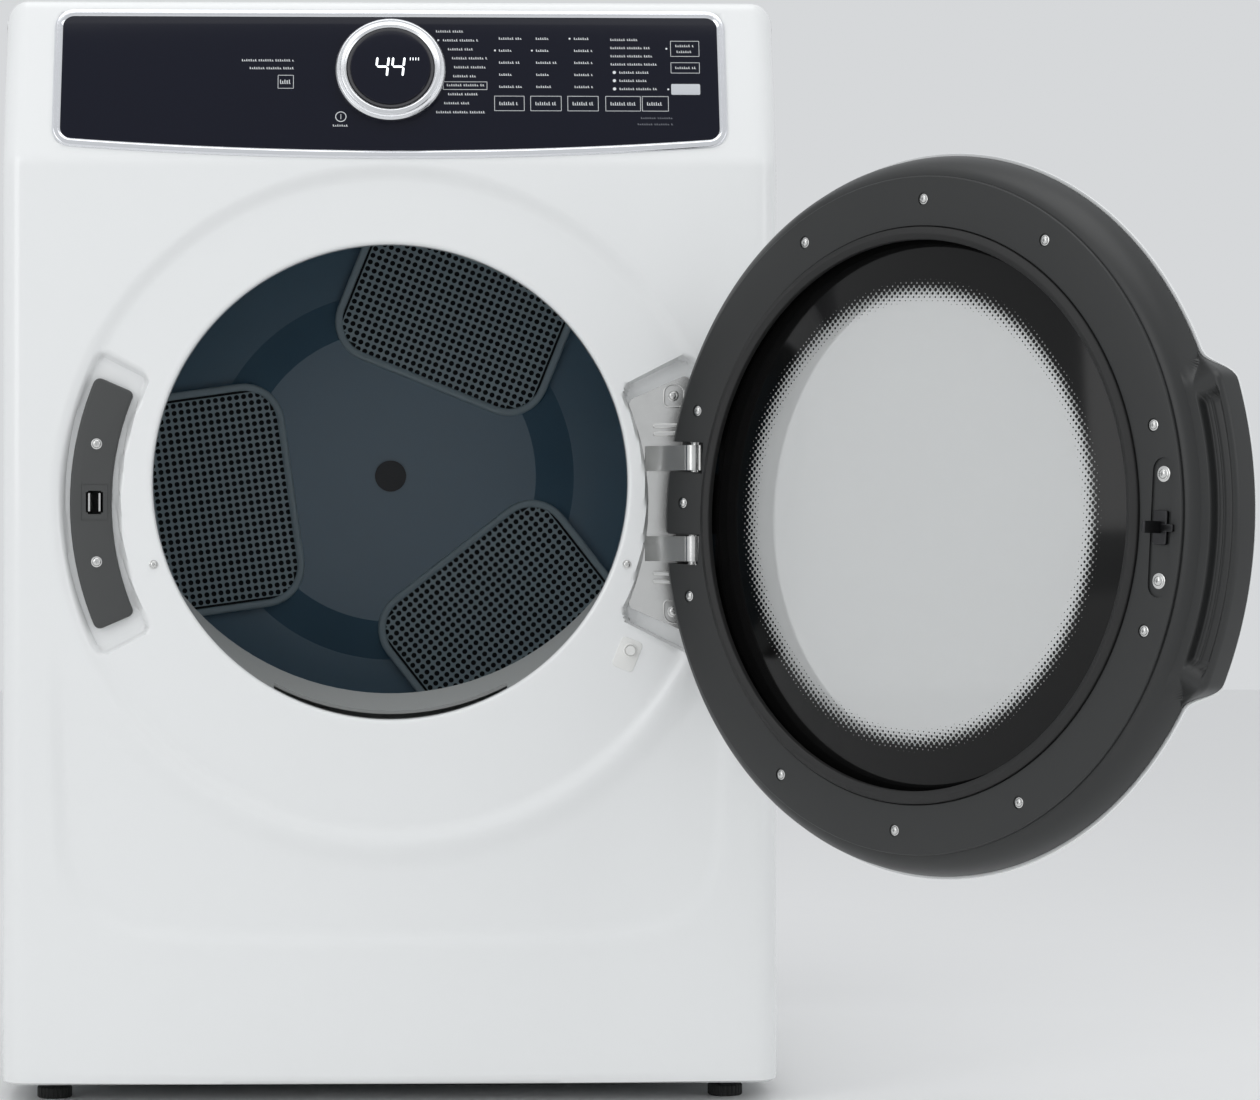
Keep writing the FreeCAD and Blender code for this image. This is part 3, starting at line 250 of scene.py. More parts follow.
def slab_mesh(outline, place, thickness, edge=0.001, steps=3):
    """A plate: its outline lies in the place's first two axes, and it rises along the third."""
    count = len(outline)
    normals = []
    area = sum(outline[i - 1][0] * outline[i][1] - outline[i][0] * outline[i - 1][1] for i in range(count))
    sign = 1 if area > 0 else -1
    for index in range(count):
        run = Vector(outline[(index + 1) % count]) - Vector(outline[index - 1])
        run = run.normalized() if run.length > 0 else Vector((1, 0))
        normals.append(Vector((run.y, -run.x)) * sign)
    levels = [(0.0, 0.0)]
    for step in range(steps + 1):
        angle = math.pi / 2 * step / steps
        levels.append((edge * (1 - math.cos(angle)), thickness - edge + edge * math.sin(angle)))
    points, faces = [], []
    for inset, height in levels:
        for (a, b), normal in zip(outline, normals):
            points.append(place @ Vector((a - normal.x * inset, b - normal.y * inset, height)))
    for level in range(len(levels) - 1):
        for index in range(count):
            after = (index + 1) % count
            low, high = level * count, (level + 1) * count
            faces.append((low + index, low + after, high + after, high + index))
    faces.append(tuple(range(count - 1, -1, -1)))
    top = (len(levels) - 1) * count
    faces.append(tuple(range(top, top + count)))
    return points, faces


def join(*meshes):
    """Several (points, faces) as one."""
    points, faces = [], []
    for some_points, some_faces in meshes:
        start = len(points)
        points += list(some_points)
        faces += [tuple(start + i for i in face) for face in some_faces]
    return points, faces


def ease(value):
    """A soft step from 0 to 1."""
    value = min(1.0, max(0.0, value))
    return value * value * (3 - 2 * value)


hinge_point = Vector(hinge["pos_m"])
swing = (Matrix.Translation(hinge_point)
         @ Matrix.Rotation(math.radians(-hinge["range_deg"][0]), 4, Vector(hinge["axis"]))
         @ Matrix.Translation(-hinge_point))


def on_door(mesh):
    """Carries points made on the shut door to the door's rest place."""
    points, faces = mesh
    return [swing @ Vector(p) for p in points], faces


print("door rests open by", -hinge["range_deg"][0], "degrees")

# %% [markdown]
# The camera stands level, 3.65 m in front of the cabinet and at about half its height, with
# a long lens. A small sideways turn and a small lens shift share the work of framing both
# the cabinet and the open door. The light is a plain studio: a pale floor and sky, one wide
# soft panel on each side, and one overhead.

# %% Camera, floor and light
CAMERA_DISTANCE = 3.65
CAMERA_HEIGHT = 0.507
LENS_PER_WIDTH = 4134 / 1260
YAW = math.radians(1.65)
MIDDLE_SHIFT = 0.190
camera_data = bpy.data.cameras.new("studio_camera")
camera_data.sensor_width = 36
camera_data.lens = 36 * LENS_PER_WIDTH
camera_data.shift_x = MIDDLE_SHIFT - math.tan(YAW) * LENS_PER_WIDTH
camera_data.shift_y = -0.0163
camera = bpy.data.objects.new("studio_camera", camera_data)
camera.location = (0, FRONT - CAMERA_DISTANCE, CAMERA_HEIGHT)
camera.rotation_euler = (math.pi / 2, 0, -YAW)
bpy.context.scene.collection.objects.link(camera)
bpy.context.scene.camera = camera

floor_mesh = bpy.data.meshes.new("studio_floor")
floor_mesh.from_pydata([(-9, -9, 0), (9, -9, 0), (9, 9, 0), (-9, 9, 0)], [], [(0, 1, 2, 3)])
floor = bpy.data.objects.new("studio_floor", floor_mesh)
floor_mesh.materials.append(finish("studio_floor", (0.90, 0.90, 0.90), 0.7, grain=60, drift=0.005))
bpy.context.scene.collection.objects.link(floor)

world = bpy.data.worlds.new("studio_world")
world.use_nodes = True
world.node_tree.nodes["Background"].inputs["Color"].default_value = (0.96, 0.98, 1.0, 1)
world.node_tree.nodes["Background"].inputs["Strength"].default_value = 0.70
bpy.context.scene.world = world
bpy.context.scene.view_settings.view_transform = "Standard"


def soft_light(name, place, target, size, watts):
    """A square studio panel that looks at its target."""
    lamp = bpy.data.lights.new(name, "AREA")
    lamp.shape = "RECTANGLE"
    lamp.size, lamp.size_y = size
    lamp.energy = watts
    holder = bpy.data.objects.new(name, lamp)
    holder.location = place
    holder.rotation_euler = (Vector(target) - Vector(place)).to_track_quat("-Z", "Y").to_euler()
    bpy.context.scene.collection.objects.link(holder)


soft_light("left_panel", (-2.6, -3.0, 1.7), (0, 0, 0.5), (1.6, 2.4), 22)
soft_light("right_panel", (3.2, -2.6, 1.6), (0.3, -0.3, 0.5), (1.4, 2.4), 12)
soft_light("top_panel_light", (0, -0.9, 3.0), (0, 0, 0.4), (2.6, 2.0), 20)
print("camera shift", round(camera_data.shift_x, 4))

# %% [markdown]
# The front is one deep-drawn steel sheet. I unroll it into a flat sheet of (across, up):
# past the side edges and past the bend below the console the flat coordinate simply goes
# on round the curve, so all soft edges come out of one mapping. Pressed features are added
# to the depth: the round recess for the door, the two pockets in it, and a soft apron.

# %% The unrolled front sheet
RECESS_OUTER, RECESS_INNER, RECESS_DEEP = 0.301, 0.285, 0.005
HINGE_POCKET_DEEP, LATCH_POCKET_DEEP = 0.021, 0.012
BEND_R = 0.030
CREST_R = 0.008
SIDE_FLAT = HALF - EDGE_R
SIDE_END = SIDE_FLAT + EDGE_R * math.pi / 2
FOOT_R = 0.005


def sector_depth(radius, angle, middle, low, high, half, wall=0.003, corner=0.010):
    """How far inside a ring sector a point is, from 0 outside to 1 past its soft wall."""
    centre = (low + high) / 2
    off = (angle - middle + math.pi) % (2 * math.pi) - math.pi
    a = abs(off) * centre - (half * centre - corner)
    b = abs(radius - centre) - ((high - low) / 2 - corner)
    outside = math.hypot(max(a, 0), max(b, 0)) + min(max(a, b), 0) - corner
    return ease(-outside / wall)


def pressed_depth(x, z):
    """Depth of the pressed features behind the front plane."""
    radius = math.hypot(x, z - DOOR_Z)
    angle = math.atan2(z - DOOR_Z, x)
    depth = RECESS_DEEP * ease((RECESS_OUTER - radius) / (RECESS_OUTER - RECESS_INNER))
    hinge_side = sector_depth(radius, angle, 0, 0.226, 0.2995, math.radians(27), corner=0.015)
    latch_side = sector_depth(radius, angle, math.pi, 0.238, 0.291, math.radians(28))
    depth += (HINGE_POCKET_DEEP - depth) * hinge_side + (LATCH_POCKET_DEEP - depth) * latch_side
    side_gap = 0.303 - 0.09 * max(0, 0.40 - z) ** 1.6 - abs(x)
    floor_gap = z - 0.138 - 0.35 * (abs(x) / 0.30) ** 4 * 0.06
    blend = 0.07
    close = max(0.0, blend - abs(side_gap - floor_gap)) / blend
    gap = min(side_gap, floor_gap) - close * close * blend / 4
    apron = ease(gap / 0.015) * ease((0.44 - z) / 0.14)
    return depth + 0.0042 * apron * ease((radius - RECESS_OUTER) / 0.024)


def formed(s, t):
    """The place in space of a point of the flat sheet."""
    sign = 1 if s >= 0 else -1
    reach = abs(s)
    if reach <= SIDE_FLAT:
        x, back = reach, 0.0
    elif reach <= SIDE_END:
        turn = (reach - SIDE_FLAT) / EDGE_R
        x, back = SIDE_FLAT + EDGE_R * math.sin(turn), EDGE_R * (1 - math.cos(turn))
    else:
        x, back = HALF, EDGE_R + reach - SIDE_END
    bend_start = BEND_Z - BEND_R * math.tan(SLOPE / 2)
    if t < BOTTOM + FOOT_R:
        turn = min(math.pi / 2, (BOTTOM + FOOT_R - t) / FOOT_R)
        over = max(0.0, (BOTTOM + FOOT_R - t) - FOOT_R * math.pi / 2)
        z, lean = BOTTOM + FOOT_R - FOOT_R * math.sin(turn), FOOT_R * (1 - math.cos(turn)) + over
    elif t <= bend_start:
        z, lean = t, 0.0
    elif t <= bend_start + BEND_R * SLOPE:
        turn = (t - bend_start) / BEND_R
        z, lean = bend_start + BEND_R * math.sin(turn), BEND_R * (1 - math.cos(turn))
    else:
        rise = t - bend_start - BEND_R * SLOPE
        z = bend_start + BEND_R * math.sin(SLOPE) + rise * math.cos(SLOPE)
        lean = BEND_R * (1 - math.cos(SLOPE)) + rise * math.sin(SLOPE)
    crest = TOP - CREST_R * (1 - math.sin(SLOPE))
    if z > crest:
        along = (z - crest) / math.cos(SLOPE)
        lean -= along * math.sin(SLOPE)
        full = CREST_R * (math.pi / 2 - SLOPE)
        turn = min(along, full) / CREST_R
        z = crest + CREST_R * (math.sin(SLOPE + turn) - math.sin(SLOPE))
        lean += CREST_R * (math.cos(SLOPE) - math.cos(SLOPE + turn)) + max(0.0, along - full)
    if x > SIDE_FLAT:
        drop = EDGE_R - math.sqrt(max(0.0, EDGE_R ** 2 - (x - SIDE_FLAT) ** 2))
        z -= drop * ease((z - TOP + 0.09) / 0.09)
    if t < BOTTOM + FOOT_R and reach > SIDE_FLAT:
        turn = min(math.pi / 2, (reach - SIDE_FLAT) / EDGE_R)
        x, lean = x - lean * math.sin(turn), lean * math.cos(turn)
    y = min(FRONT + back + lean, SEAM)
    if t < BEND_Z:
        y += pressed_depth(sign * x, z) * (reach < SIDE_FLAT)
    return Vector((sign * x, y, z))


TURN_END = SIDE_END + 0.042
columns = 152
flat_across = [-TURN_END + 2 * TURN_END * i / columns for i in range(columns + 1)]
flat_up = [BOTTOM - 0.014 + (BEND_Z - BOTTOM + 0.014) * i / 150 for i in range(151)]
rim = [(s, BEND_Z) for s in flat_across[:-1]]
rim += [(TURN_END, t) for t in reversed(flat_up[1:])]
rim += [(s, flat_up[0]) for s in reversed(flat_across[1:])]
rim += [(-TURN_END, t) for t in flat_up[:-1]]
print("rays across the front:", len(rim))

# %% [markdown]
# Below the bend the sheet is a fan of rays from the door opening out to the rim, with many
# short steps where the recess and the pockets are, so that their walls follow the mesh.
# At the opening the sheet rolls inward over a small radius. Above the bend plain columns
# carry on up to the lid, and the window for the console is left open.

# %% Build the front
NECK_R, NECK_LONG = 0.004, 0.016


def opening_reach(angle):
    """Distance from the door's centre to the opening's edge, which sits a little higher."""
    rise = OPENING_Z - DOOR_Z
    along = rise * math.sin(angle)
    return along + math.sqrt(along ** 2 + (OPENING_R + NECK_R) ** 2 - rise ** 2)


points, faces, rings = [], [], []
for s, t in rim:
    angle = math.atan2(t - DOOR_Z, s)
    inner, outer = opening_reach(angle), math.hypot(s, t - DOOR_Z)
    middle = min(0.314, inner + (outer - inner) * 0.985)
    ray = []
    rim_x, rim_z = inner * math.cos(angle), inner * math.sin(angle) + DOOR_Z - OPENING_Z
    outward = Vector((rim_x, 0, rim_z)).normalized()
    centre = Vector((0, FRONT + RECESS_DEEP + NECK_R, OPENING_Z))
    ray.append(centre + outward * OPENING_R + Vector((0, NECK_LONG - NECK_R, 0)))
    for step in range(5):
        turn = math.pi / 2 * step / 5
        ray.append(centre + outward * (OPENING_R + NECK_R * (1 - math.cos(turn)))
                   - Vector((0, NECK_R * math.sin(turn), 0)))
    for step in range(46):
        reach = inner + (middle - inner) * step / 45
        ray.append(formed(reach * math.cos(angle), DOOR_Z + reach * math.sin(angle)))
    for step in range(1, 49):
        reach = middle + (outer - middle) * step / 48
        ray.append(formed(reach * math.cos(angle), DOOR_Z + reach * math.sin(angle)))
    rings.append(len(points))
    points += ray
ray_length = len(ray)
for index, start in enumerate(rings):
    after = rings[(index + 1) % len(rings)]
    for k in range(ray_length - 1):
        middle = (points[start + k] + points[after + k + 1]) / 2
        catch_hole = -0.274 < middle.x < -0.248 and 0.511 < middle.z < 0.551
        if not catch_hole:
            faces.append((start + k, start + k + 1, after + k + 1, after + k))
upper_length = 0.1535 + 0.030
upper = [BEND_Z + upper_length * i / 62 for i in range(63)]
start = len(points)
for t in upper:
    points += [formed(s, t) for s in flat_across]
wide = len(flat_across)
for row in range(len(upper) - 1):
    for column in range(wide - 1):
        s = abs((flat_across[column] + flat_across[column + 1]) / 2)
        rise = (upper[row] + upper[row + 1]) / 2 - BEND_Z
        window = s < 0.2935 and 0.007 + 0.012 * (s / 0.291) ** 2 < rise < 0.1415
        if not window:
            a = start + row * wide + column
            faces.append((a, a + 1, a + wide + 1, a + wide))
front_sheet = piece("front_sheet", points, faces, enamel, "cabinet", "cabinet_paint", ["front_panel"], 50)
thick = front_sheet.modifiers.new("sheet_thickness", "SOLIDIFY")
thick.thickness = 0.0009
thick.offset = -1
print("front sheet points:", len(points))

# %% [markdown]
# Some pieces need a notch or a hole that no lathe profile can give, such as the slots in
# the door ring for the hinge arms. A boolean cut on the finished mesh is the simplest way:
# the cutter is a plain block, it is used once, and then it is thrown away.

# %% Cutting and sweeping tools
def carve(made, cutters):
    """Cuts closed (points, faces) meshes out of an object's own mesh."""
    blocks = []
    for points, faces in cutters:
        mesh = bpy.data.meshes.new("cutter")
        mesh.from_pydata([tuple(p) for p in points], [], faces)
        shape = bmesh.new()
        shape.from_mesh(mesh)
        bmesh.ops.recalc_face_normals(shape, faces=shape.faces)
        shape.to_mesh(mesh)
        shape.free()
        block = bpy.data.objects.new("cutter", mesh)
        bpy.context.scene.collection.objects.link(block)
        cut = made.modifiers.new("cut", "BOOLEAN")
        cut.operation = "DIFFERENCE"
        cut.solver = "EXACT"
        cut.object = block
        blocks.append(block)
    graph = bpy.context.evaluated_depsgraph_get()
    finished = bpy.data.meshes.new_from_object(made.evaluated_get(graph))
    made.modifiers.clear()
    made.data = finished
    finished.set_sharp_from_angle(angle=math.radians(32))
    for block in blocks:
        bpy.data.objects.remove(block)


def block_mesh(low, high):
    """A plain block, for cutters."""
    x, y, z = zip(low, high)
    points = [Vector((x[i], y[j], z[k])) for i in (0, 1) for j in (0, 1) for k in (0, 1)]
    faces = [(0, 1, 3, 2), (4, 6, 7, 5), (0, 4, 5, 1), (2, 3, 7, 6), (0, 2, 6, 4), (1, 5, 7, 3)]
    return points, faces


def swept_mesh(outline, profile, place):
    """A closed profile of (outward, height) carried round a closed outline."""
    count = len(outline)
    area = sum(outline[i - 1][0] * outline[i][1] - outline[i][0] * outline[i - 1][1] for i in range(count))
    sign = 1 if area > 0 else -1
    points, faces = [], []
    for index in range(count):
        run = (Vector(outline[(index + 1) % count]) - Vector(outline[index - 1])).normalized()
        normal = Vector((run.y, -run.x)) * sign
        for outward, height in profile:
            points.append(place @ Vector((outline[index][0] + normal.x * outward,
                                          outline[index][1] + normal.y * outward, height)))
    size = len(profile)
    for index in range(count):
        after = (index + 1) % count
        for k in range(size):
            n = (k + 1) % size
            faces.append((index * size + k, after * size + k, after * size + n, index * size + n))
    return points, faces


def frame_at(origin, across, up):
    """A place whose first axis is across, second is up, and third points out of the face."""
    across, up = Vector(across).normalized(), Vector(up).normalized()
    out = across.cross(up)
    place = Matrix((across, up, out)).transposed().to_4x4()
    place.translation = Vector(origin)
    return place


def screw_mesh(place, radius):
    """A pan head with a washer rim and a cross-shaped recess, standing on the place's face."""
    rounds = [(radius, 0.0), (radius, 0.0006), (radius * 0.8, 0.0008), (radius * 0.76, 0.0014),
              (radius * 0.6, 0.0021), (radius * 0.34, 0.0024)]
    points, faces = [], []
    spokes = 32
    for r, h in rounds:
        for k in range(spokes):
            angle = 2 * math.pi * k / spokes
            points.append(place @ Vector((r * math.cos(angle), r * math.sin(angle), h)))
    for arm, web, h in ((0.30, 0.12, 0.0024), (0.24, 0.09, 0.0008)):
        for k in range(spokes):
            angle = 2 * math.pi * k / spokes
            r = radius * (arm if k % 8 in (0, 1, 7) else web)
            points.append(place @ Vector((r * math.cos(angle), r * math.sin(angle), h)))
    levels = len(rounds) + 2
    for level in range(levels - 1):
        for k in range(spokes):
            n = (k + 1) % spokes
            low, high = level * spokes, (level + 1) * spokes
            faces.append((low + k, low + n, high + n, high + k))
    last = (levels - 1) * spokes
    faces.append(tuple(range(last, last + spokes)))
    faces.append(tuple(range(spokes - 1, -1, -1)))
    return points, faces


print("tools ready")

# %% [markdown]
# The door is a sandwich. Facing the drum is a flat charcoal ring with screws, then a soft
# black gasket in a step, then the inner glass. Behind them flares a charcoal shell, and the
# white front ring and the outer window close it. Each is a lathe profile with its corners
# rounded. Heights count away from the drum, starting at the ring's face.

# %% Door ring and gasket
RING_Y = FRONT - 0.002
RING_R, RING_INNER_R = 0.282, 0.240
door_centre = Vector((0, RING_Y, DOOR_Z))
LATHE = ((1, 0, 0), (0, -1, 0))
ARM_LOW, ARM_HIGH = 0.029, 0.051


def door_lathe(profile, steps=4, segments=240):
    return turned_mesh(round_corners(profile, steps), door_centre, *LATHE, segments=segments)


def arm_slots(deep):
    """The two slots that the hinge arms swing through, as cutters on the rest door."""
    slots = []
    for side in (-1, 1):
        low, high = sorted((DOOR_Z + side * (ARM_LOW - 0.0025), DOOR_Z + side * (ARM_HIGH + 0.0025)))
        slots.append(on_door(block_mesh((0.2405, RING_Y - deep, low), (0.31, RING_Y + 0.006, high))))
    return slots


def polar(radius, degrees):
    turn = math.radians(degrees)
    return radius * math.cos(turn), DOOR_Z + radius * math.sin(turn)


SCREW_RING_R = 0.262
screw_degrees = (0, 18, -18, 60, -60, 90, -90, 120, -120, 162, -162)
striker_spots = [(-0.261, DOOR_Z + 0.043), (-0.261, DOOR_Z - 0.041)]
ring_profile = [(RING_INNER_R - 0.0004, 0.0034, 0.0003), (RING_INNER_R - 0.0004, 0, 0.0012),
                (RING_R - 0.0006, 0, 0.0014), (RING_R - 0.0006, 0.0034, 0.0003)]
ring_mesh = door_lathe(ring_profile)
knuckle_outline = round_corners([(0.2535, -0.0275, 0.002), (0.281, -0.0275, 0.002),
                                 (0.281, 0.0275, 0.002), (0.2535, 0.0275, 0.002)])
knuckle_place = frame_at((0, RING_Y - 0.002, DOOR_Z), (1, 0, 0), (0, 0, 1))
knuckle_mesh = slab_mesh(knuckle_outline, knuckle_place, 0.027, 0.003)
door_ring = piece("door_ring", *on_door(ring_mesh), door_plastic, "door", "door_charcoal",
                  ["door_inner_ring"])
dimples = []
for x, z in [polar(SCREW_RING_R, a) for a in screw_degrees]:
    rounds = [(0.0, -0.006), (0.0, 0.0012), (0.0052, 0.0012), (0.0066, -0.006)]
    dimples.append(on_door(turned_mesh(rounds, (x, RING_Y, z), *LATHE, segments=32)))
pocket_outline = round_corners([(-0.271, -0.054, 0.010), (-0.251, -0.054, 0.010),
                                (-0.251, 0.056, 0.010), (-0.271, 0.056, 0.010)])
pocket_place = frame_at((0, RING_Y - 0.0016, DOOR_Z), (-1, 0, 0), (0, 0, 1))
pocket_cut = slab_mesh([(-a, b) for a, b in pocket_outline], pocket_place, 0.008, 0.0002)
carve(door_ring, arm_slots(0.02) + dimples + [on_door(pocket_cut)])
piece("door_knuckle", *on_door(knuckle_mesh), door_plastic, "door", "door_charcoal")
seal_profile = [(0.2284, 0.0030, 0.0006), (0.2284, -0.0022, 0.0016), (0.2335, -0.0042, 0.0020),
                (0.2392, -0.0016, 0.0016), (0.2392, 0.0030, 0.0006)]
seal = piece("door_gasket", *on_door(door_lathe(seal_profile)), rubber, "door", "seal_rubber",
             ["door_seal"])
print("ring screws", len(screw_degrees), "gasket points", len(seal.data.vertices))

# %% [markdown]
# The charcoal shell flares from the ring out to the rim. On the free side it grows into the
# handle: a block with a scoop for the fingers and two fine ridges along it. Handle and white
# front share one outline, `rim_reach`, which swells from the round rim to the handle.

# %% Door shell, handle and white front
RIM_R, RIM_DEEP, HANDLE_R = 0.300, 0.031, 0.326
FLARE = [(0.2824, 0.0036), (0.2885, 0.0068), (0.2936, 0.0125), (0.2974, 0.0205), (0.3000, 0.031)]


def grown(angle):
    """0 on the round part of the rim, 1 on the handle; the angle is from the free side."""
    return ease((math.radians(28.0) - abs(angle)) / math.radians(6.5))


def rim_reach(angle, add=0.0):
    return RIM_R + add + (HANDLE_R - RIM_R) * grown(angle)


def flare_depth(radius):
    for (r0, t0), (r1, t1) in zip(FLARE, FLARE[1:]):
        if radius <= r1:
            return t0 + (t1 - t0) * (radius - r0) / (r1 - r0)
    return RIM_DEEP


def door_point(angle, radius, depth):
    """Angle is from the free side, so 0 lies at the far side from the hinge."""
    return Vector((-radius * math.cos(angle), RING_Y - depth, DOOR_Z + radius * math.sin(angle)))


shell_profile = [(0.2790, 0.0036, 0), *[(r, t, 0) for r, t in FLARE], (0.3000, 0.0340, 0.0006),
                 (0.2320, 0.0340, 0.0006), (0.2320, 0.0318, 0.0006), (0.2925, 0.0310, 0.001)]
door_shell = piece("door_shell", *on_door(door_lathe(shell_profile)), door_plastic, "door",
                   "door_charcoal", ["door_outer_shell"])
carve(door_shell, arm_slots(0.0305) + [on_door(block_mesh(
    (0.253, RING_Y - 0.0295, DOOR_Z - 0.028), (0.2816, RING_Y + 0.002, DOOR_Z + 0.028)))])

grip_points, grip_faces = [], []
grip_turns, grip_steps = 120, 56
for index in range(grip_turns + 1):
    angle = math.radians(-28.0 + 56.0 * index / grip_turns)
    swell = grown(angle)
    reach = rim_reach(angle)
    scooped = ease((math.radians(21.0) - abs(angle)) / math.radians(1.8))
    row = []
    for step in range(grip_steps + 1):
        radius = 0.2890 + (reach - 0.0045 - 0.2890) * step / grip_steps
        depth = flare_depth(radius) * (1 - swell) + 0.0105 * swell
        scoop = ease((radius - 0.3000) / 0.0035) * ease((0.3222 - radius) / 0.0030)
        ridge = ease(1 - abs(radius - 0.3085) / 0.0012) + 0.7 * ease(1 - abs(radius - 0.3150) / 0.0010)
        depth += swell * scooped * scoop * (0.0075 + 0.0035 * ease((radius - 0.305) / 0.012) - 0.0009 * ridge)
        row.append(door_point(angle, radius, depth))
    face = flare_depth(reach) * (1 - swell) + 0.0105 * swell
    for step in range(1, 7):
        turn = math.pi / 2 * step / 6
        row.append(door_point(angle, reach - 0.0045 + 0.0045 * math.sin(turn),
                              face + (0.006 * (1 - math.cos(turn))) * swell))
    row.append(door_point(angle, reach, 0.0342))
    row.append(door_point(angle, 0.2985, 0.0342))
    grip_points += row
size = len(row)
for index in range(grip_turns):
    for k in range(size - 1):
        a = index * size + k
        grip_faces.append((a, a + 1, a + size + 1, a + size))
    grip_faces.append((index * size + size - 1, index * size, (index + 1) * size, (index + 2) * size - 1))
grip_faces.append(tuple(range(size)))
grip_faces.append(tuple(range(grip_turns * size + size - 1, grip_turns * size - 1, -1)))
piece("door_grip", *on_door((grip_points, grip_faces)), door_plastic, "door",
      "door_charcoal", crease=50)

COVER_LOW = 0.0342
cover_profile = round_corners(
    [(0.3025, COVER_LOW, 0.0004), (0.3025, COVER_LOW + 0.0030, 0.0018), (0.290, COVER_LOW + 0.0080, 0.02),
     (0.262, COVER_LOW + 0.0160, 0.05), (0.225, COVER_LOW + 0.0220, 0.02),
     (0.2042, COVER_LOW + 0.0234, 0.001), (0.2042, COVER_LOW + 0.0205, 0.0006),
     (0.225, COVER_LOW + 0.0190, 0.01), (0.260, COVER_LOW + 0.0130, 0.02),
     (0.288, COVER_LOW + 0.0055, 0.01), (0.297, COVER_LOW + 0.0012, 0.001)], 6)
cover_points, cover_faces = [], []
cover_turns = 360
for index in range(cover_turns):
    angle = math.radians(index - 180)
    for radius, depth in cover_profile:
        stretch = max(0.0, (radius - 0.262) / (0.3025 - 0.262))
        swell = (HANDLE_R - RIM_R - 0.002) * grown(angle) * stretch
        cover_points.append(door_point(angle, radius + swell, depth))
size = len(cover_profile)
for index in range(cover_turns):
    after = (index + 1) % cover_turns
    for k in range(size):
        n = (k + 1) % size
        cover_faces.append((index * size + k, index * size + n, after * size + n, after * size + k))
piece("door_front", *on_door((cover_points, cover_faces)), enamel, "door",
      "cabinet_paint", ["door_front_cover"], 40)
print("handle stands", round((HANDLE_R - RIM_R) * 1000), "mm past the rim")

# %% [markdown]
# The inner glass is a clear disc with a baked-on black border. The border fades inward as a
# field of dots that shrink row by row, the way such frit is printed. The flat coordinates of
# the shut door are kept as a UV map, so that the dots stay round and true on the open door.

# %% Glass with its printed border
def see_through(name, tint, fade_start, fade_end, pitch, clear):
    """Black beyond fade_end, dots between the two radii, and clear glass inside them."""
    material = finish(name, tint, 0.09, grain=90, bump=0.000002, drift=0.02)
    tree = material.node_tree
    shader = tree.nodes["Principled BSDF"]
    shader.inputs["Specular IOR Level"].default_value = 0.25

    def sum_up(operation, first, second=None, third=None):
        step = tree.nodes.new("ShaderNodeMath")
        step.operation = operation
        for socket, value in zip(step.inputs, (first, second, third)):
            if hasattr(value, "links"):
                tree.links.new(value, socket)
            elif value is not None:
                socket.default_value = value
        return step.outputs[0]

    flat = tree.nodes.new("ShaderNodeUVMap")
    flat.uv_map = "shut_door"
    parts = tree.nodes.new("ShaderNodeSeparateXYZ")
    tree.links.new(flat.outputs["UV"], parts.inputs[0])
    a, b = parts.outputs[0], parts.outputs[1]
    radius = sum_up("SQRT", sum_up("ADD", sum_up("MULTIPLY", a, a), sum_up("MULTIPLY", b, b)))
    cells = []
    for mixed in (sum_up("ADD", a, b), sum_up("SUBTRACT", a, b)):
        scaled = sum_up("ADD", sum_up("DIVIDE", mixed, pitch * math.sqrt(2)), 400.0)
        cells.append(sum_up("SUBTRACT", sum_up("FRACT", scaled), 0.5))
    off = sum_up("SQRT", sum_up("ADD", sum_up("MULTIPLY", cells[0], cells[0]),
                                sum_up("MULTIPLY", cells[1], cells[1])))
    grow = sum_up("DIVIDE", sum_up("SUBTRACT", radius, fade_start), fade_end - fade_start)
    dot = sum_up("LESS_THAN", off, sum_up("MULTIPLY", grow, 0.74))
    opaque = sum_up("MAXIMUM", dot, sum_up("GREATER_THAN", radius, fade_end))
    colour = tree.nodes.new("ShaderNodeMix")
    colour.data_type = "RGBA"
    colour.inputs[6].default_value = tint + (1,)
    colour.inputs[7].default_value = (0.004, 0.004, 0.004, 1)
    tree.links.new(opaque, colour.inputs[0])
    tree.links.new(colour.outputs[2], shader.inputs["Base Color"])
    tree.links.new(sum_up("MAXIMUM", opaque, clear), shader.inputs["Alpha"])
    return material


def glass_disc(name, rounds, material, hides):
    """A disc from (radius, depth) rounds, front and back, with the flat map of the shut door."""
    spokes = 128
    points, faces, flat = [], [], []
    for radius, depth in rounds:
        for k in range(spokes):
            turn = 2 * math.pi * k / spokes
            flat.append((radius * math.cos(turn), radius * math.sin(turn)))
            points.append(Vector((flat[-1][0], RING_Y - depth, DOOR_Z + flat[-1][1])))
    for level in range(len(rounds) - 1):
        for k in range(spokes):
            n = (k + 1) % spokes
            faces.append((level * spokes + k, level * spokes + n,
                          (level + 1) * spokes + n, (level + 1) * spokes + k))
    faces.append(tuple(range(spokes - 1, -1, -1)))
    faces.append(tuple(range((len(rounds) - 1) * spokes, len(rounds) * spokes)))
    points, faces = on_door((points, faces))
    mesh = bpy.data.meshes.new(name)
    mesh.from_pydata([tuple(p) for p in points], [], faces)
    layer = mesh.uv_layers.new(name="shut_door")
    for loop in mesh.loops:
        layer.data[loop.index].uv = flat[loop.vertex_index]
    mesh.materials.append(material)
    mesh.shade_smooth()
    mesh.set_sharp_from_angle(angle=math.radians(40))
    made = bpy.data.objects.new(name, mesh)
    bpy.context.scene.collection.objects.link(made)
    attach(made, "door")
    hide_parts(hides)
    return made


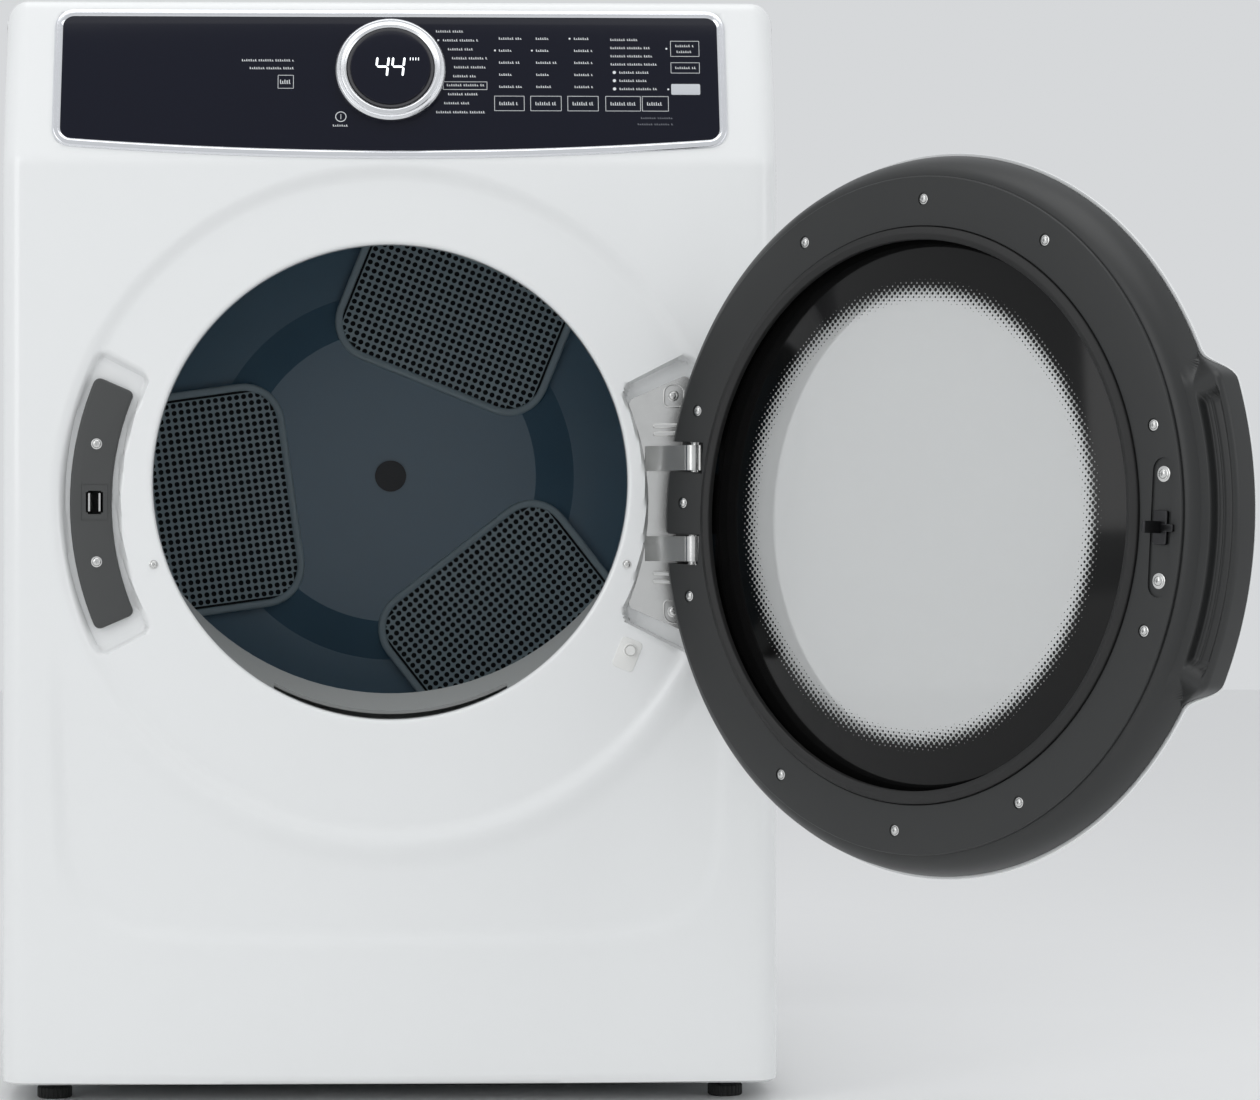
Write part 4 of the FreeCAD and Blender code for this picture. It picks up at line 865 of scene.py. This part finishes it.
inner_clear = see_through("inner_glass", (0.64, 0.65, 0.645), 0.1755, 0.1985, 0.0042, 0.46)
outer_clear = see_through("outer_glass", (0.70, 0.71, 0.71), 0.2040, 0.2140, 0.0042, 0.10)
inner_glass = glass_disc("inner_glass_disc", [(0.04, 0.0072), (0.2365, 0.0072), (0.2375, 0.0078),
                                              (0.2375, 0.0110), (0.2365, 0.0115), (0.04, 0.0115)],
                         inner_clear, "door_glass")
dome = [(0.2030 * step / 12, COVER_LOW + 0.0285 - 0.0050 * (step / 12) ** 2) for step in range(1, 13)]
dome = dome + [(0.2036, COVER_LOW + 0.0228), (0.2036, COVER_LOW + 0.0205)]
under = [(r, t - 0.0040) for r, t in reversed(dome[:12])]
outer_window = glass_disc("window_disc", dome + under, outer_clear, "door_window")
print("glass faces", len(inner_glass.data.polygons) + len(outer_window.data.polygons))

# %% [markdown]
# Screws hold the ring to the shell: pan heads with a cross recess, sunk in small dimples.
# Two larger ones with washers hold the striker, a folded steel tongue that the catch grips.

# %% Door screws and striker
heads = []
for x, z in [polar(SCREW_RING_R, a) for a in screw_degrees]:
    spot = frame_at((x, RING_Y - 0.0012, z), (-1, 0, 0), (0, 0, 1))
    heads.append(on_door(screw_mesh(spot, 0.0043)))
washer = [(0.0, 0.0), (0.0062, 0.0), (0.0062, 0.0007), (0.0056, 0.0009), (0.0, 0.0009)]
for x, z in striker_spots:
    spot = frame_at((x, RING_Y - 0.0007, z), (-1, 0, 0), (0, 0, 1))
    heads.append(on_door(screw_mesh(spot, 0.0048)))
    heads.append(on_door(turned_mesh(washer, (x, RING_Y - 0.0016, z), (1, 0, 0), (0, 1, 0),
                                     segments=32, loop=False)))
piece("door_screw_heads", *join(*heads), plated, "door", "plated_steel",
      ["door_screws"], 40)
dark_steel = finish("blackened_steel", (0.05, 0.05, 0.052), 0.35, metal=1, grain=500, drift=0.15)
tongue = [(-0.0016, 0.0, 0.0004), (0.0016, 0.0, 0.0004), (0.0016, 0.0222, 0.0012),
          (-0.0016, 0.0222, 0.0012)]
tongue_place = frame_at((-0.261, RING_Y + 0.0005, 0.5265), (1, 0, 0), (0, 1, 0))
base = round_corners([(-0.0068, -0.0135, 0.002), (0.0068, -0.0135, 0.002), (0.0068, 0.0135, 0.002),
                      (-0.0068, 0.0135, 0.002)])
base_place = frame_at((-0.261, RING_Y - 0.0014, 0.531), (-1, 0, 0), (0, 0, 1))
cross = round_corners([(-0.0135, -0.003, 0.001), (0.0135, -0.003, 0.001), (0.0135, 0.003, 0.001),
                       (-0.0135, 0.003, 0.001)])
tongue_mesh = slab_mesh(round_corners(tongue), tongue_place, 0.0095, 0.0005)
piece("striker_tongue", *on_door(join(
    slab_mesh(base, base_place, 0.0030, 0.0008), slab_mesh(cross, base_place, 0.0042, 0.0006),
    tongue_mesh)), dark_steel, "door", "plated_steel", ["door_striker"])
print("door fasteners", len(heads))

# %% [markdown]
# The catch plate on the cabinet is a curved moulding that fills the left pocket. It has a
# small slot for the striker, with the two catch jaws behind it, and two screws. Its outline follows two arcs.

# %% Catch plate
def arc_outline(inner, outer, low, high, corner, steps=18):
    """Two arcs about the door's axis; angles in degrees from +X, corners rounded."""
    rim = []
    for step in range(steps + 1):
        turn = math.radians(low + (high - low) * step / steps)
        rim.append((outer * math.cos(turn), DOOR_Z + outer * math.sin(turn)))
    for step in range(steps + 1):
        turn = math.radians(high - (high - low) * step / steps)
        rim.append((inner * math.cos(turn), DOOR_Z + inner * math.sin(turn)))
    bends = (0, steps, steps + 1, 2 * steps + 1)
    return round_corners([(a, b, corner if i in bends else 0) for i, (a, b) in enumerate(rim)], 5)


def facing(depth):
    """Points at (x, z) on the front plane, a given depth behind it; rises towards the user."""
    return frame_at((0, FRONT + depth, 0), (1, 0, 0), (0, 0, 1))


catch_outline = arc_outline(0.2462, 0.2828, 180 - 23.4, 180 + 23.4, 0.006)
catch_plate = piece("catch_plate", *slab_mesh(catch_outline, facing(0.0115), 0.0083, 0.0022, 4),
                    charcoal, "cabinet", "charcoal_plastic", ["latch_plate"])
jaws = [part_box("latch_jaw_left"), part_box("latch_jaw_right")]
jaw_low = [min(low[i] for low, high in jaws) for i in range(3)]
jaw_high = [max(high[i] for low, high in jaws) for i in range(3)]
slot_block = block_mesh((-0.2668, FRONT - 0.002, 0.5205), (-0.2552, FRONT + 0.0125, 0.5412))
jaw_room = block_mesh((jaw_low[0] - 0.0022, jaw_low[1] - 0.0006, jaw_low[2] - 0.0010),
                      (jaw_high[0] + 0.0022, FRONT + 0.0130, jaw_high[2] + 0.0010))
print("jaws take", [round(v, 4) for v in jaw_low + jaw_high])
square_lines = []
for low, high in (((-0.2725, 0.5150), (-0.2719, 0.5470)), ((-0.2495, 0.5150), (-0.2489, 0.5470)),
                  ((-0.2725, 0.5150), (-0.2489, 0.5156)), ((-0.2725, 0.5464), (-0.2489, 0.5470))):
    square_lines.append(block_mesh((low[0], FRONT, low[1]), (high[0], FRONT + 0.0036, high[1])))
carve(catch_plate, [slot_block, jaw_room] + square_lines)
print("catch plate points", len(catch_outline))

# %% [markdown]
# The fascia is printed from behind in white ink. Real labels are replaced here by short
# strokes in rows, so that the panel keeps its rhythm without any words. Places are in
# millimetres: across from the middle, and up the slope from the bend.

# %% Fascia panel, its frame and its print
def on_slope(out):
    """The console's sloping face, raised by out; its axes are across and up the slope."""
    up = Vector((0, math.sin(SLOPE), math.cos(SLOPE)))
    origin = Vector((0, FRONT, BEND_Z)) + Vector((0, -math.cos(SLOPE), math.sin(SLOPE))) * out
    return frame_at(origin, (1, 0, 0), up)


def bowed(half, low, high, sag, corner, steps=24):
    """The panel's outline: straight sides and top, and a lower edge that sags in the middle."""
    rim = [(-half, high, corner), (-half - 0.0005, low, corner)]
    for step in range(1, steps):
        share = step / steps
        rim.append((-half + 2 * half * share, low - sag * (1 - (2 * share - 1) ** 2), 0))
    rim += [(half + 0.0005, low, corner), (half, high, corner)]
    return round_corners(rim, 6)


panel_place = on_slope(0.0)
panel_rim = bowed(0.2912, 0.0215, 0.1387, 0.0117, 0.010)
piece("fascia_panel", *slab_mesh(panel_rim, panel_place, 0.0013, 0.0003), fascia_black,
      "cabinet", "fascia_gloss", ["control_fascia"])
trim_profile = round_corners([(0.0, 0.0002, 0), (0.0, 0.0014, 0.0004), (0.0022, 0.0026, 0.0010),
                              (0.0062, 0.0024, 0.0012), (0.0074, 0.0002, 0)], 4)
piece("fascia_frame", *swept_mesh(panel_rim, trim_profile, panel_place), trim_metal,
      "cabinet", "bright_trim", ["fascia_trim"], 50)


def print_block(x0, x1, s0, s1, thick=0.00012):
    """One flat patch of ink."""
    rim = [(x0 / 1000, s0 / 1000), (x1 / 1000, s0 / 1000), (x1 / 1000, s1 / 1000), (x0 / 1000, s1 / 1000)]
    return slab_mesh(rim, on_slope(0.0013), thick, thick / 4, 1)


def strokes(x, s, width, height=2.1):
    """A row of short strokes as long as a label would be, with a gap now and then."""
    made, at, count = [], x, 0
    while at < x + width - 0.9:
        tall = height * (1.0, 0.72, 1.0, 0.86)[count % 4]
        made.append(print_block(at, at + 0.75, s - height / 2, s - height / 2 + tall))
        made.append(print_block(at, at + 1.45, s - height / 2, s - height / 2 + 0.42))
        at += 1.95 if count % 7 != 6 else 3.2
        count += 1
    return made


def key_box(x0, x1, s0, s1, line=0.42):
    return [print_block(x0, x1, s0, s0 + line), print_block(x0, x1, s1 - line, s1),
            print_block(x0, x0 + line, s0, s1), print_block(x1 - line, x1, s0, s1)]


def printed_dot(x, s, radius=0.9):
    rim = [((x + radius * math.cos(i * math.pi / 8)) / 1000, (s + radius * math.sin(i * math.pi / 8)) / 1000)
           for i in range(16)]
    return slab_mesh(rim, on_slope(0.0013), 0.00012, 0.00003, 1)


marks = []
cycle_starts = (40.5, 46.7, 51.1, 54.7, 56.5, 55.6, 50.0, 51.1, 47.6, 40.5)
cycle_widths = (24, 31, 22, 32, 30, 20, 33, 26, 23, 43)
for row, (start, width) in enumerate(zip(cycle_starts, cycle_widths)):
    marks += strokes(start, 125 - row * 8.7, width)
marks += key_box(46.7, 85.8, 68.3, 76.2) + [printed_dot(42.4, 116.3)]
option_columns = ((96.5, (20, 12, 19, 11, 20)), (129.5, (11, 12, 19, 11, 15)), (163.5, (15, 16, 16, 16, 16)))
for first, widths in option_columns:
    for row, width in enumerate(widths):
        marks += strokes(first, 118.2 - row * 11.7, width)
marks += [printed_dot(92.9, 106.5), printed_dot(125.8, 106.5), printed_dot(159.6, 118.2)]
for x0, x1 in ((92.0, 118.7), (124.0, 151.6), (157.0, 184.5), (190.7, 222.0), (223.2, 246.8)):
    marks += key_box(x0, x1, 48.0, 62.5) + strokes(x0 + 4.5, 55.2, x1 - x0 - 9, 3.2)
for row, width in enumerate((25, 36, 38, 41, 27, 25, 34)):
    indent = 7.5 if row > 3 else 0
    marks += strokes(196 + indent, 117.3 - row * 7.95, width)
    if indent:
        marks += [printed_dot(199, 117.3 - row * 7.95, 1.5)]
marks += key_box(249.4, 275.2, 101.1, 116.3) + strokes(254, 111.5, 17) + strokes(255, 105.8, 15)
marks += key_box(249.4, 275.2, 84.9, 95.4) + strokes(253.5, 90.2, 18)
marks += [printed_dot(245.9, 108.7), printed_dot(246.8, 69.3)]
marks += strokes(-132, 96.3, 46) + strokes(-125, 88.7, 39) + key_box(-100, -86, 69, 82)
marks += strokes(-98, 75.5, 10, 4) + strokes(-51, 33.5, 14, 1.8)
for step in range(40):
    turn = 2 * math.pi * step / 40
    marks.append(printed_dot(-44 + 4.6 * math.cos(turn), 42 + 4.6 * math.sin(turn), 0.42))
marks.append(print_block(-44.25, -43.75, 39.6, 44.4))
piece("fascia_print", *join(*marks), ink, "cabinet", "fascia_gloss")
key_pad = round_corners([(0.2494, 0.0640, 0.0012), (0.2752, 0.0640, 0.0012), (0.2752, 0.0744, 0.0012),
                         (0.2494, 0.0744, 0.0012)])
piece("silver_key", *slab_mesh(key_pad, on_slope(0.0013), 0.0003, 0.0001), key_silver,
      "cabinet", "fascia_gloss")
faint_ink = finish("faint_ink", (0.16, 0.17, 0.20), 0.5, grain=900, drift=0.02)
piece("faint_print", *join(*strokes(222, 41.5, 28, 1.6), *strokes(219, 35.5, 31, 1.6)),
      faint_ink, "cabinet", "fascia_gloss")
print("printed marks:", len(marks))

# %% [markdown]
# The dial is a turned aluminium ring round a fixed display. The ring has a polished chamfer
# outside, a fine knurl on its rim and a softer inner lip; the display is dark glass with two
# lit digits, each built from slanted bars as on any seven-bar display.

# %% Dial and display
DIAL_UP = 0.085
dial_centre = panel_place @ Vector((0, DIAL_UP, 0))
dial_axes = ((1, 0, 0), (0, -math.cos(SLOPE), math.sin(SLOPE)))
ring_sections = round_corners([(0.0390, 0.0018, 0.0002), (0.0478, 0.0018, 0.0006), (0.0489, 0.0040, 0.0008),
                               (0.0489, 0.0082, 0.0010), (0.0472, 0.0104, 0.0012), (0.0450, 0.0101, 0.0004),
                               (0.0443, 0.0116, 0.0006), (0.0412, 0.0123, 0.0010),
                               (0.0390, 0.0110, 0.0006)], 4)
ring_points, ring_faces = turned_mesh(ring_sections, dial_centre, *dial_axes, segments=480)
axis = Vector(dial_axes[1])
for index, point in enumerate(ring_points):
    spoke = point - dial_centre
    height = spoke.dot(axis)
    flat = spoke - axis * height
    if flat.length > 0.0486 and 0.0044 < height < 0.0080 and (index // len(ring_sections)) % 4 < 2:
        ring_points[index] = point - flat.normalized() * 0.00035
piece("dial_turned_ring", ring_points, ring_faces, dial_metal, "dial", "dial_metal", ["dial_ring"], 38)
barrel_sections = round_corners([(0.0352, -0.0040, 0), (0.0384, -0.0040, 0), (0.0384, 0.0118, 0.0008),
                                 (0.0352, 0.0112, 0.0006)], 3)
piece("display_ring", *turned_mesh(barrel_sections, dial_centre, *dial_axes, segments=180),
      motor_black, "cabinet", "charcoal_plastic", ["display_barrel"])
lens_sections = [(0.004, 0.0106), (0.0354, 0.0106), (0.0354, 0.0122), (0.0345, 0.0129), (0.030, 0.0132),
                 (0.004, 0.0134)]
lens_points, lens_faces = turned_mesh(lens_sections, dial_centre, *dial_axes, segments=160)
rings_of = len(lens_sections)
lens_faces.append(tuple(k * rings_of + rings_of - 1 for k in range(160)))
piece("display_glass", lens_points, lens_faces, fascia_black, "cabinet", "display_glass",
      ["display_lens"])
glow = finish("display_glow", (0.9, 0.95, 1.0), 0.4, grain=900, drift=0.01)
glow.node_tree.nodes["Principled BSDF"].inputs["Emission Color"].default_value = (0.93, 0.97, 1, 1)
glow.node_tree.nodes["Principled BSDF"].inputs["Emission Strength"].default_value = 1.1


def lit_bar(x0, s0, x1, s1, width):
    """A bar with pointed ends between two places on the display, in millimetres."""
    run = (Vector((x1, s1)) - Vector((x0, s0)))
    along = run.normalized()
    side = Vector((-along.y, along.x)) * width / 2
    start, end = Vector((x0, s0)), Vector((x1, s1))
    rim = [start, start + along * width / 2 + side, end - along * width / 2 + side, end,
           end - along * width / 2 - side, start + along * width / 2 - side]
    place = on_slope(0.01345)
    return slab_mesh([((p.x) / 1000, p.y / 1000 + DIAL_UP) for p in rim], place, 0.00015, 0.00004, 1)


lean = 0.10
digits = []
for left in (-12.5, 1.5):
    for (a0, b0), (a1, b1) in (((0, 9.0), (0, 0.6)), ((0.4, 0), (9.6, 0)), ((10, 9.0), (10, 0.6)),
                               ((10, -0.6), (10, -9.0))):
        digits.append(lit_bar(left + a0 + b0 * lean, b0, left + a1 + b1 * lean, b1, 1.9))
for step in range(4):
    digits.append(lit_bar(17.5 + step * 2.4, 6.0, 17.5 + step * 2.4, 9.0, 0.7))
piece("display_digits", *join(*digits), glow, "cabinet", "display_glass")
print("dial points", len(ring_points), "digit bars", len(digits))

# %% [markdown]
# Three moulded grilles let the hot air in through the back of the drum. Each has a straight
# inner edge, rounded corners and an outer edge that follows the drum, and hundreds of round
# holes in straight rows. The holes are real: each is one square cell with a round wall, and
# a raised rim covers the ragged edge of the grid. Behind them lies a near-black sheet of
# painted shade, which stands for the dark air space behind the holes.

# %% Drum grilles
HOLE_PITCH, HOLE_R, HOLE_SIDES = 0.0073, 0.0027, 12
GRILLE_INNER, GRILLE_HALF, GRILLE_OUTER = 0.100, 0.116, 0.292
side_reach = math.sqrt(GRILLE_OUTER ** 2 - GRILLE_HALF ** 2)
lobe = [(GRILLE_INNER, -GRILLE_HALF, 0.042), (side_reach, -GRILLE_HALF, 0.024)]
for step in range(1, 24):
    b = -GRILLE_HALF + 2 * GRILLE_HALF * step / 24
    lobe.append((math.sqrt(GRILLE_OUTER ** 2 - b ** 2), b, 0))
lobe += [(side_reach, GRILLE_HALF, 0.024), (GRILLE_INNER, GRILLE_HALF, 0.042)]
lobe = round_corners(lobe, 8)
rim_section = [(0.0, -0.0160), (0.0, 0.0018), (-0.0009, 0.0030), (-0.0022, 0.0034), (-0.0062, 0.0034),
               (-0.0074, 0.0028), (-0.0078, 0.0014), (-0.0030, 0.0010), (-0.0018, -0.0160)]


def inside_lobe(a, b, margin):
    near = abs(b)
    corner_a, corner_b = GRILLE_INNER + 0.042, GRILLE_HALF - 0.042
    if a < corner_a and near > corner_b:
        return math.hypot(corner_a - a, near - corner_b) < 0.042 - margin
    return (a > GRILLE_INNER + margin and near < GRILLE_HALF - margin
            and math.hypot(a, near) < GRILLE_OUTER - margin)


def holed_cell(place, a, b, points, faces):
    """A square of plate with a round hole and the hole's wall."""
    start = len(points)
    for k in range(HOLE_SIDES):
        turn = 2 * math.pi * (k + 0.5) / HOLE_SIDES
        c, d = math.cos(turn), math.sin(turn)
        reach = HOLE_PITCH / 2 / max(abs(c), abs(d))
        points.append(place @ Vector((a + c * reach, b + d * reach, 0.0022)))
        points.append(place @ Vector((a + c * HOLE_R, b + d * HOLE_R, 0.0022)))
        points.append(place @ Vector((a + c * HOLE_R, b + d * HOLE_R, -0.0010)))
    for k in range(HOLE_SIDES):
        p, q = start + 3 * k, start + 3 * ((k + 1) % HOLE_SIDES)
        faces.append((p, q, q + 1, p + 1))
        faces.append((p + 1, q + 1, q + 2, p + 2))


def grille(degrees):
    turn = math.radians(degrees)
    along = (math.cos(turn), 0, math.sin(turn))
    side = (-math.sin(turn), 0, math.cos(turn))
    place = frame_at((0, 0.2680, DRUM_Z), along, side)
    rim = swept_mesh(lobe, rim_section, place)
    points, faces = [], []
    for i in range(30):
        for j in range(-17, 18):
            a, b = GRILLE_INNER + 0.0095 + i * HOLE_PITCH, j * HOLE_PITCH
            if inside_lobe(a, b, 0.0068):
                holed_cell(place, a, b, points, faces)
    return rim, (points, faces)


GRILLE_DEGREES = (68, 188, 308)
lobes = [mesh for degrees in GRILLE_DEGREES for mesh in grille(degrees)]
grilles = piece("hot_air_grilles", *join(*lobes), grille_grey, "drum", "grille_paint",
                ["drum_grilles"], 40)
# Painted shade: a near-black sheet behind each grille stands for the dark air space behind the holes.
dark_screen = finish("dark_screen", (0.012, 0.014, 0.015), 0.8, grain=2500, bump=0.0001)
shade_backings = []
for degrees in GRILLE_DEGREES:
    turn = math.radians(degrees)
    behind = frame_at((0, 0.2696, DRUM_Z), (math.cos(turn), 0, math.sin(turn)),
                      (-math.sin(turn), 0, math.cos(turn)))
    inset = [(a + (0.196 - a) * 0.03, b * 0.97) for a, b in lobe]
    shade_backings.append(slab_mesh(inset, behind, 0.0005, 0.0001, 1))
piece("grille_screens", *join(*shade_backings), dark_screen, "drum", "filter_screen")
print("grille faces", len(grilles.data.polygons))

# %% [markdown]
# The cabinet's own screws are pan heads too: two in the recess beside the opening, two on
# the catch plate and two on the hinge plate. The hinge plate gets the pressed ribs that
# stiffen such plates: a U round each screw and a fold line beside each arm.

# %% Cabinet screws, hinge plate ribs and door switch frame
cabinet_heads = []
for x, z, depth, radius in ((-0.209, 0.476, 0.0050, 0.0040), (0.209, 0.476, 0.0050, 0.0040),
                            (-0.259, 0.5825, 0.0032, 0.0048), (-0.259, 0.4785, 0.0032, 0.0048),
                            (0.251, 0.626, 0.0186, 0.0050), (0.251, 0.434, 0.0186, 0.0050)):
    cabinet_heads.append(screw_mesh(frame_at((x, FRONT + depth, z), (1, 0, 0), (0, 0, 1)), radius))
piece("cabinet_screws", *join(*cabinet_heads), plated, "cabinet", "plated_steel",
      ["panel_screws"], 40)
rib_section = round_corners([(-0.0010, -0.0004, 0.0001), (-0.0006, 0.0009, 0.0004), (0.0006, 0.0009, 0.0004),
                             (0.0010, -0.0004, 0.0001)], 3)
ribs = []
for z, flip in ((0.626, 1), (0.434, -1)):
    loop = round_corners([(0.243, z - flip * 0.010, 0.004), (0.261, z - flip * 0.010, 0.004),
                          (0.261, z + flip * 0.010, 0.008), (0.243, z + flip * 0.010, 0.008)], 6)
    ribs.append(swept_mesh(loop, rib_section, facing(0.0190)))
for z in (DOOR_Z + 0.062, DOOR_Z + 0.069, DOOR_Z - 0.062, DOOR_Z - 0.069):
    bar = round_corners([(0.233, z - 0.0022, 0.002), (0.284, z - 0.0022, 0.002), (0.284, z + 0.0022, 0.002),
                         (0.233, z + 0.0022, 0.002)])
    ribs.append(slab_mesh(bar, facing(0.0192), 0.0016, 0.0010, 4))
piece("hinge_plate_ribs", *join(*ribs), plated, "cabinet", "plated_steel")

lean_turn = math.radians(22)
switch_rim = []
for a, b in round_corners([(-0.010, -0.014, 0.004), (0.010, -0.014, 0.004), (0.010, 0.014, 0.004),
                           (-0.010, 0.014, 0.004)]):
    switch_rim.append((0.2095 + a * math.cos(lean_turn) + b * math.sin(lean_turn),
                       0.3965 - a * math.sin(lean_turn) + b * math.cos(lean_turn)))
piece("switch_frame", *slab_mesh(switch_rim, facing(0.0055), 0.0011, 0.0005),
      white_plastic, "cabinet", "white_plastic")
collar_section = [(0.0046, 0.0), (0.0046, 0.0012), (0.0054, 0.0016), (0.0062, 0.0012), (0.0062, 0.0)]
piece("switch_collar", *turned_mesh(collar_section, (0.212, FRONT + 0.0046, 0.400),
                                    (1, 0, 0), (0, -1, 0), segments=48),
      white_plastic, "cabinet", "white_plastic")
print("cabinet fasteners", len(cabinet_heads))

# %% [markdown]
# Each foot is a threaded stud in a moulded rubber cup with ribs round it, so that it can be
# turned by hand. The ribs are part of the cup's profile, which swells and shrinks as it turns.

# %% Ribbed feet
def foot(name, node):
    low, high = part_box(node)
    x, y = (low[0] + high[0]) / 2, (low[1] + high[1]) / 2
    reach = (high[0] - low[0]) / 2
    sections = [(0.4, 0.0), (0.93, 0.0), (1.0, 0.0012), (1.0, 0.0090), (0.94, 0.0102), (0.50, 0.0112),
                (0.24, 0.0114), (0.24, high[2])]
    points, faces = [], []
    for index in range(144):
        turn = 2 * math.pi * index / 144
        rib = 0.94 if index % 6 < 3 else 1.0
        for share, height in sections:
            shrink = rib if share > 0.9 and height > 0.0 else 1
            radius = reach * share * shrink
            points.append(Vector((x + radius * math.cos(turn), y + radius * math.sin(turn),
                                  low[2] + height if height < 0.02 else height)))
    count = len(sections)
    for index in range(144):
        after = (index + 1) % 144
        for k in range(count - 1):
            faces.append((index * count + k, after * count + k, after * count + k + 1, index * count + k + 1))
    faces.append(tuple(index * count for index in range(144)))
    faces.append(tuple(index * count + count - 1 for index in range(143, -1, -1)))
    return piece(name, points, faces, rubber, node, "foot_rubber", [node], 35)


for corner in ("front_left", "front_right", "rear_left", "rear_right"):
    foot("ribbed_foot_" + corner, "foot_" + corner)
print("feet done")
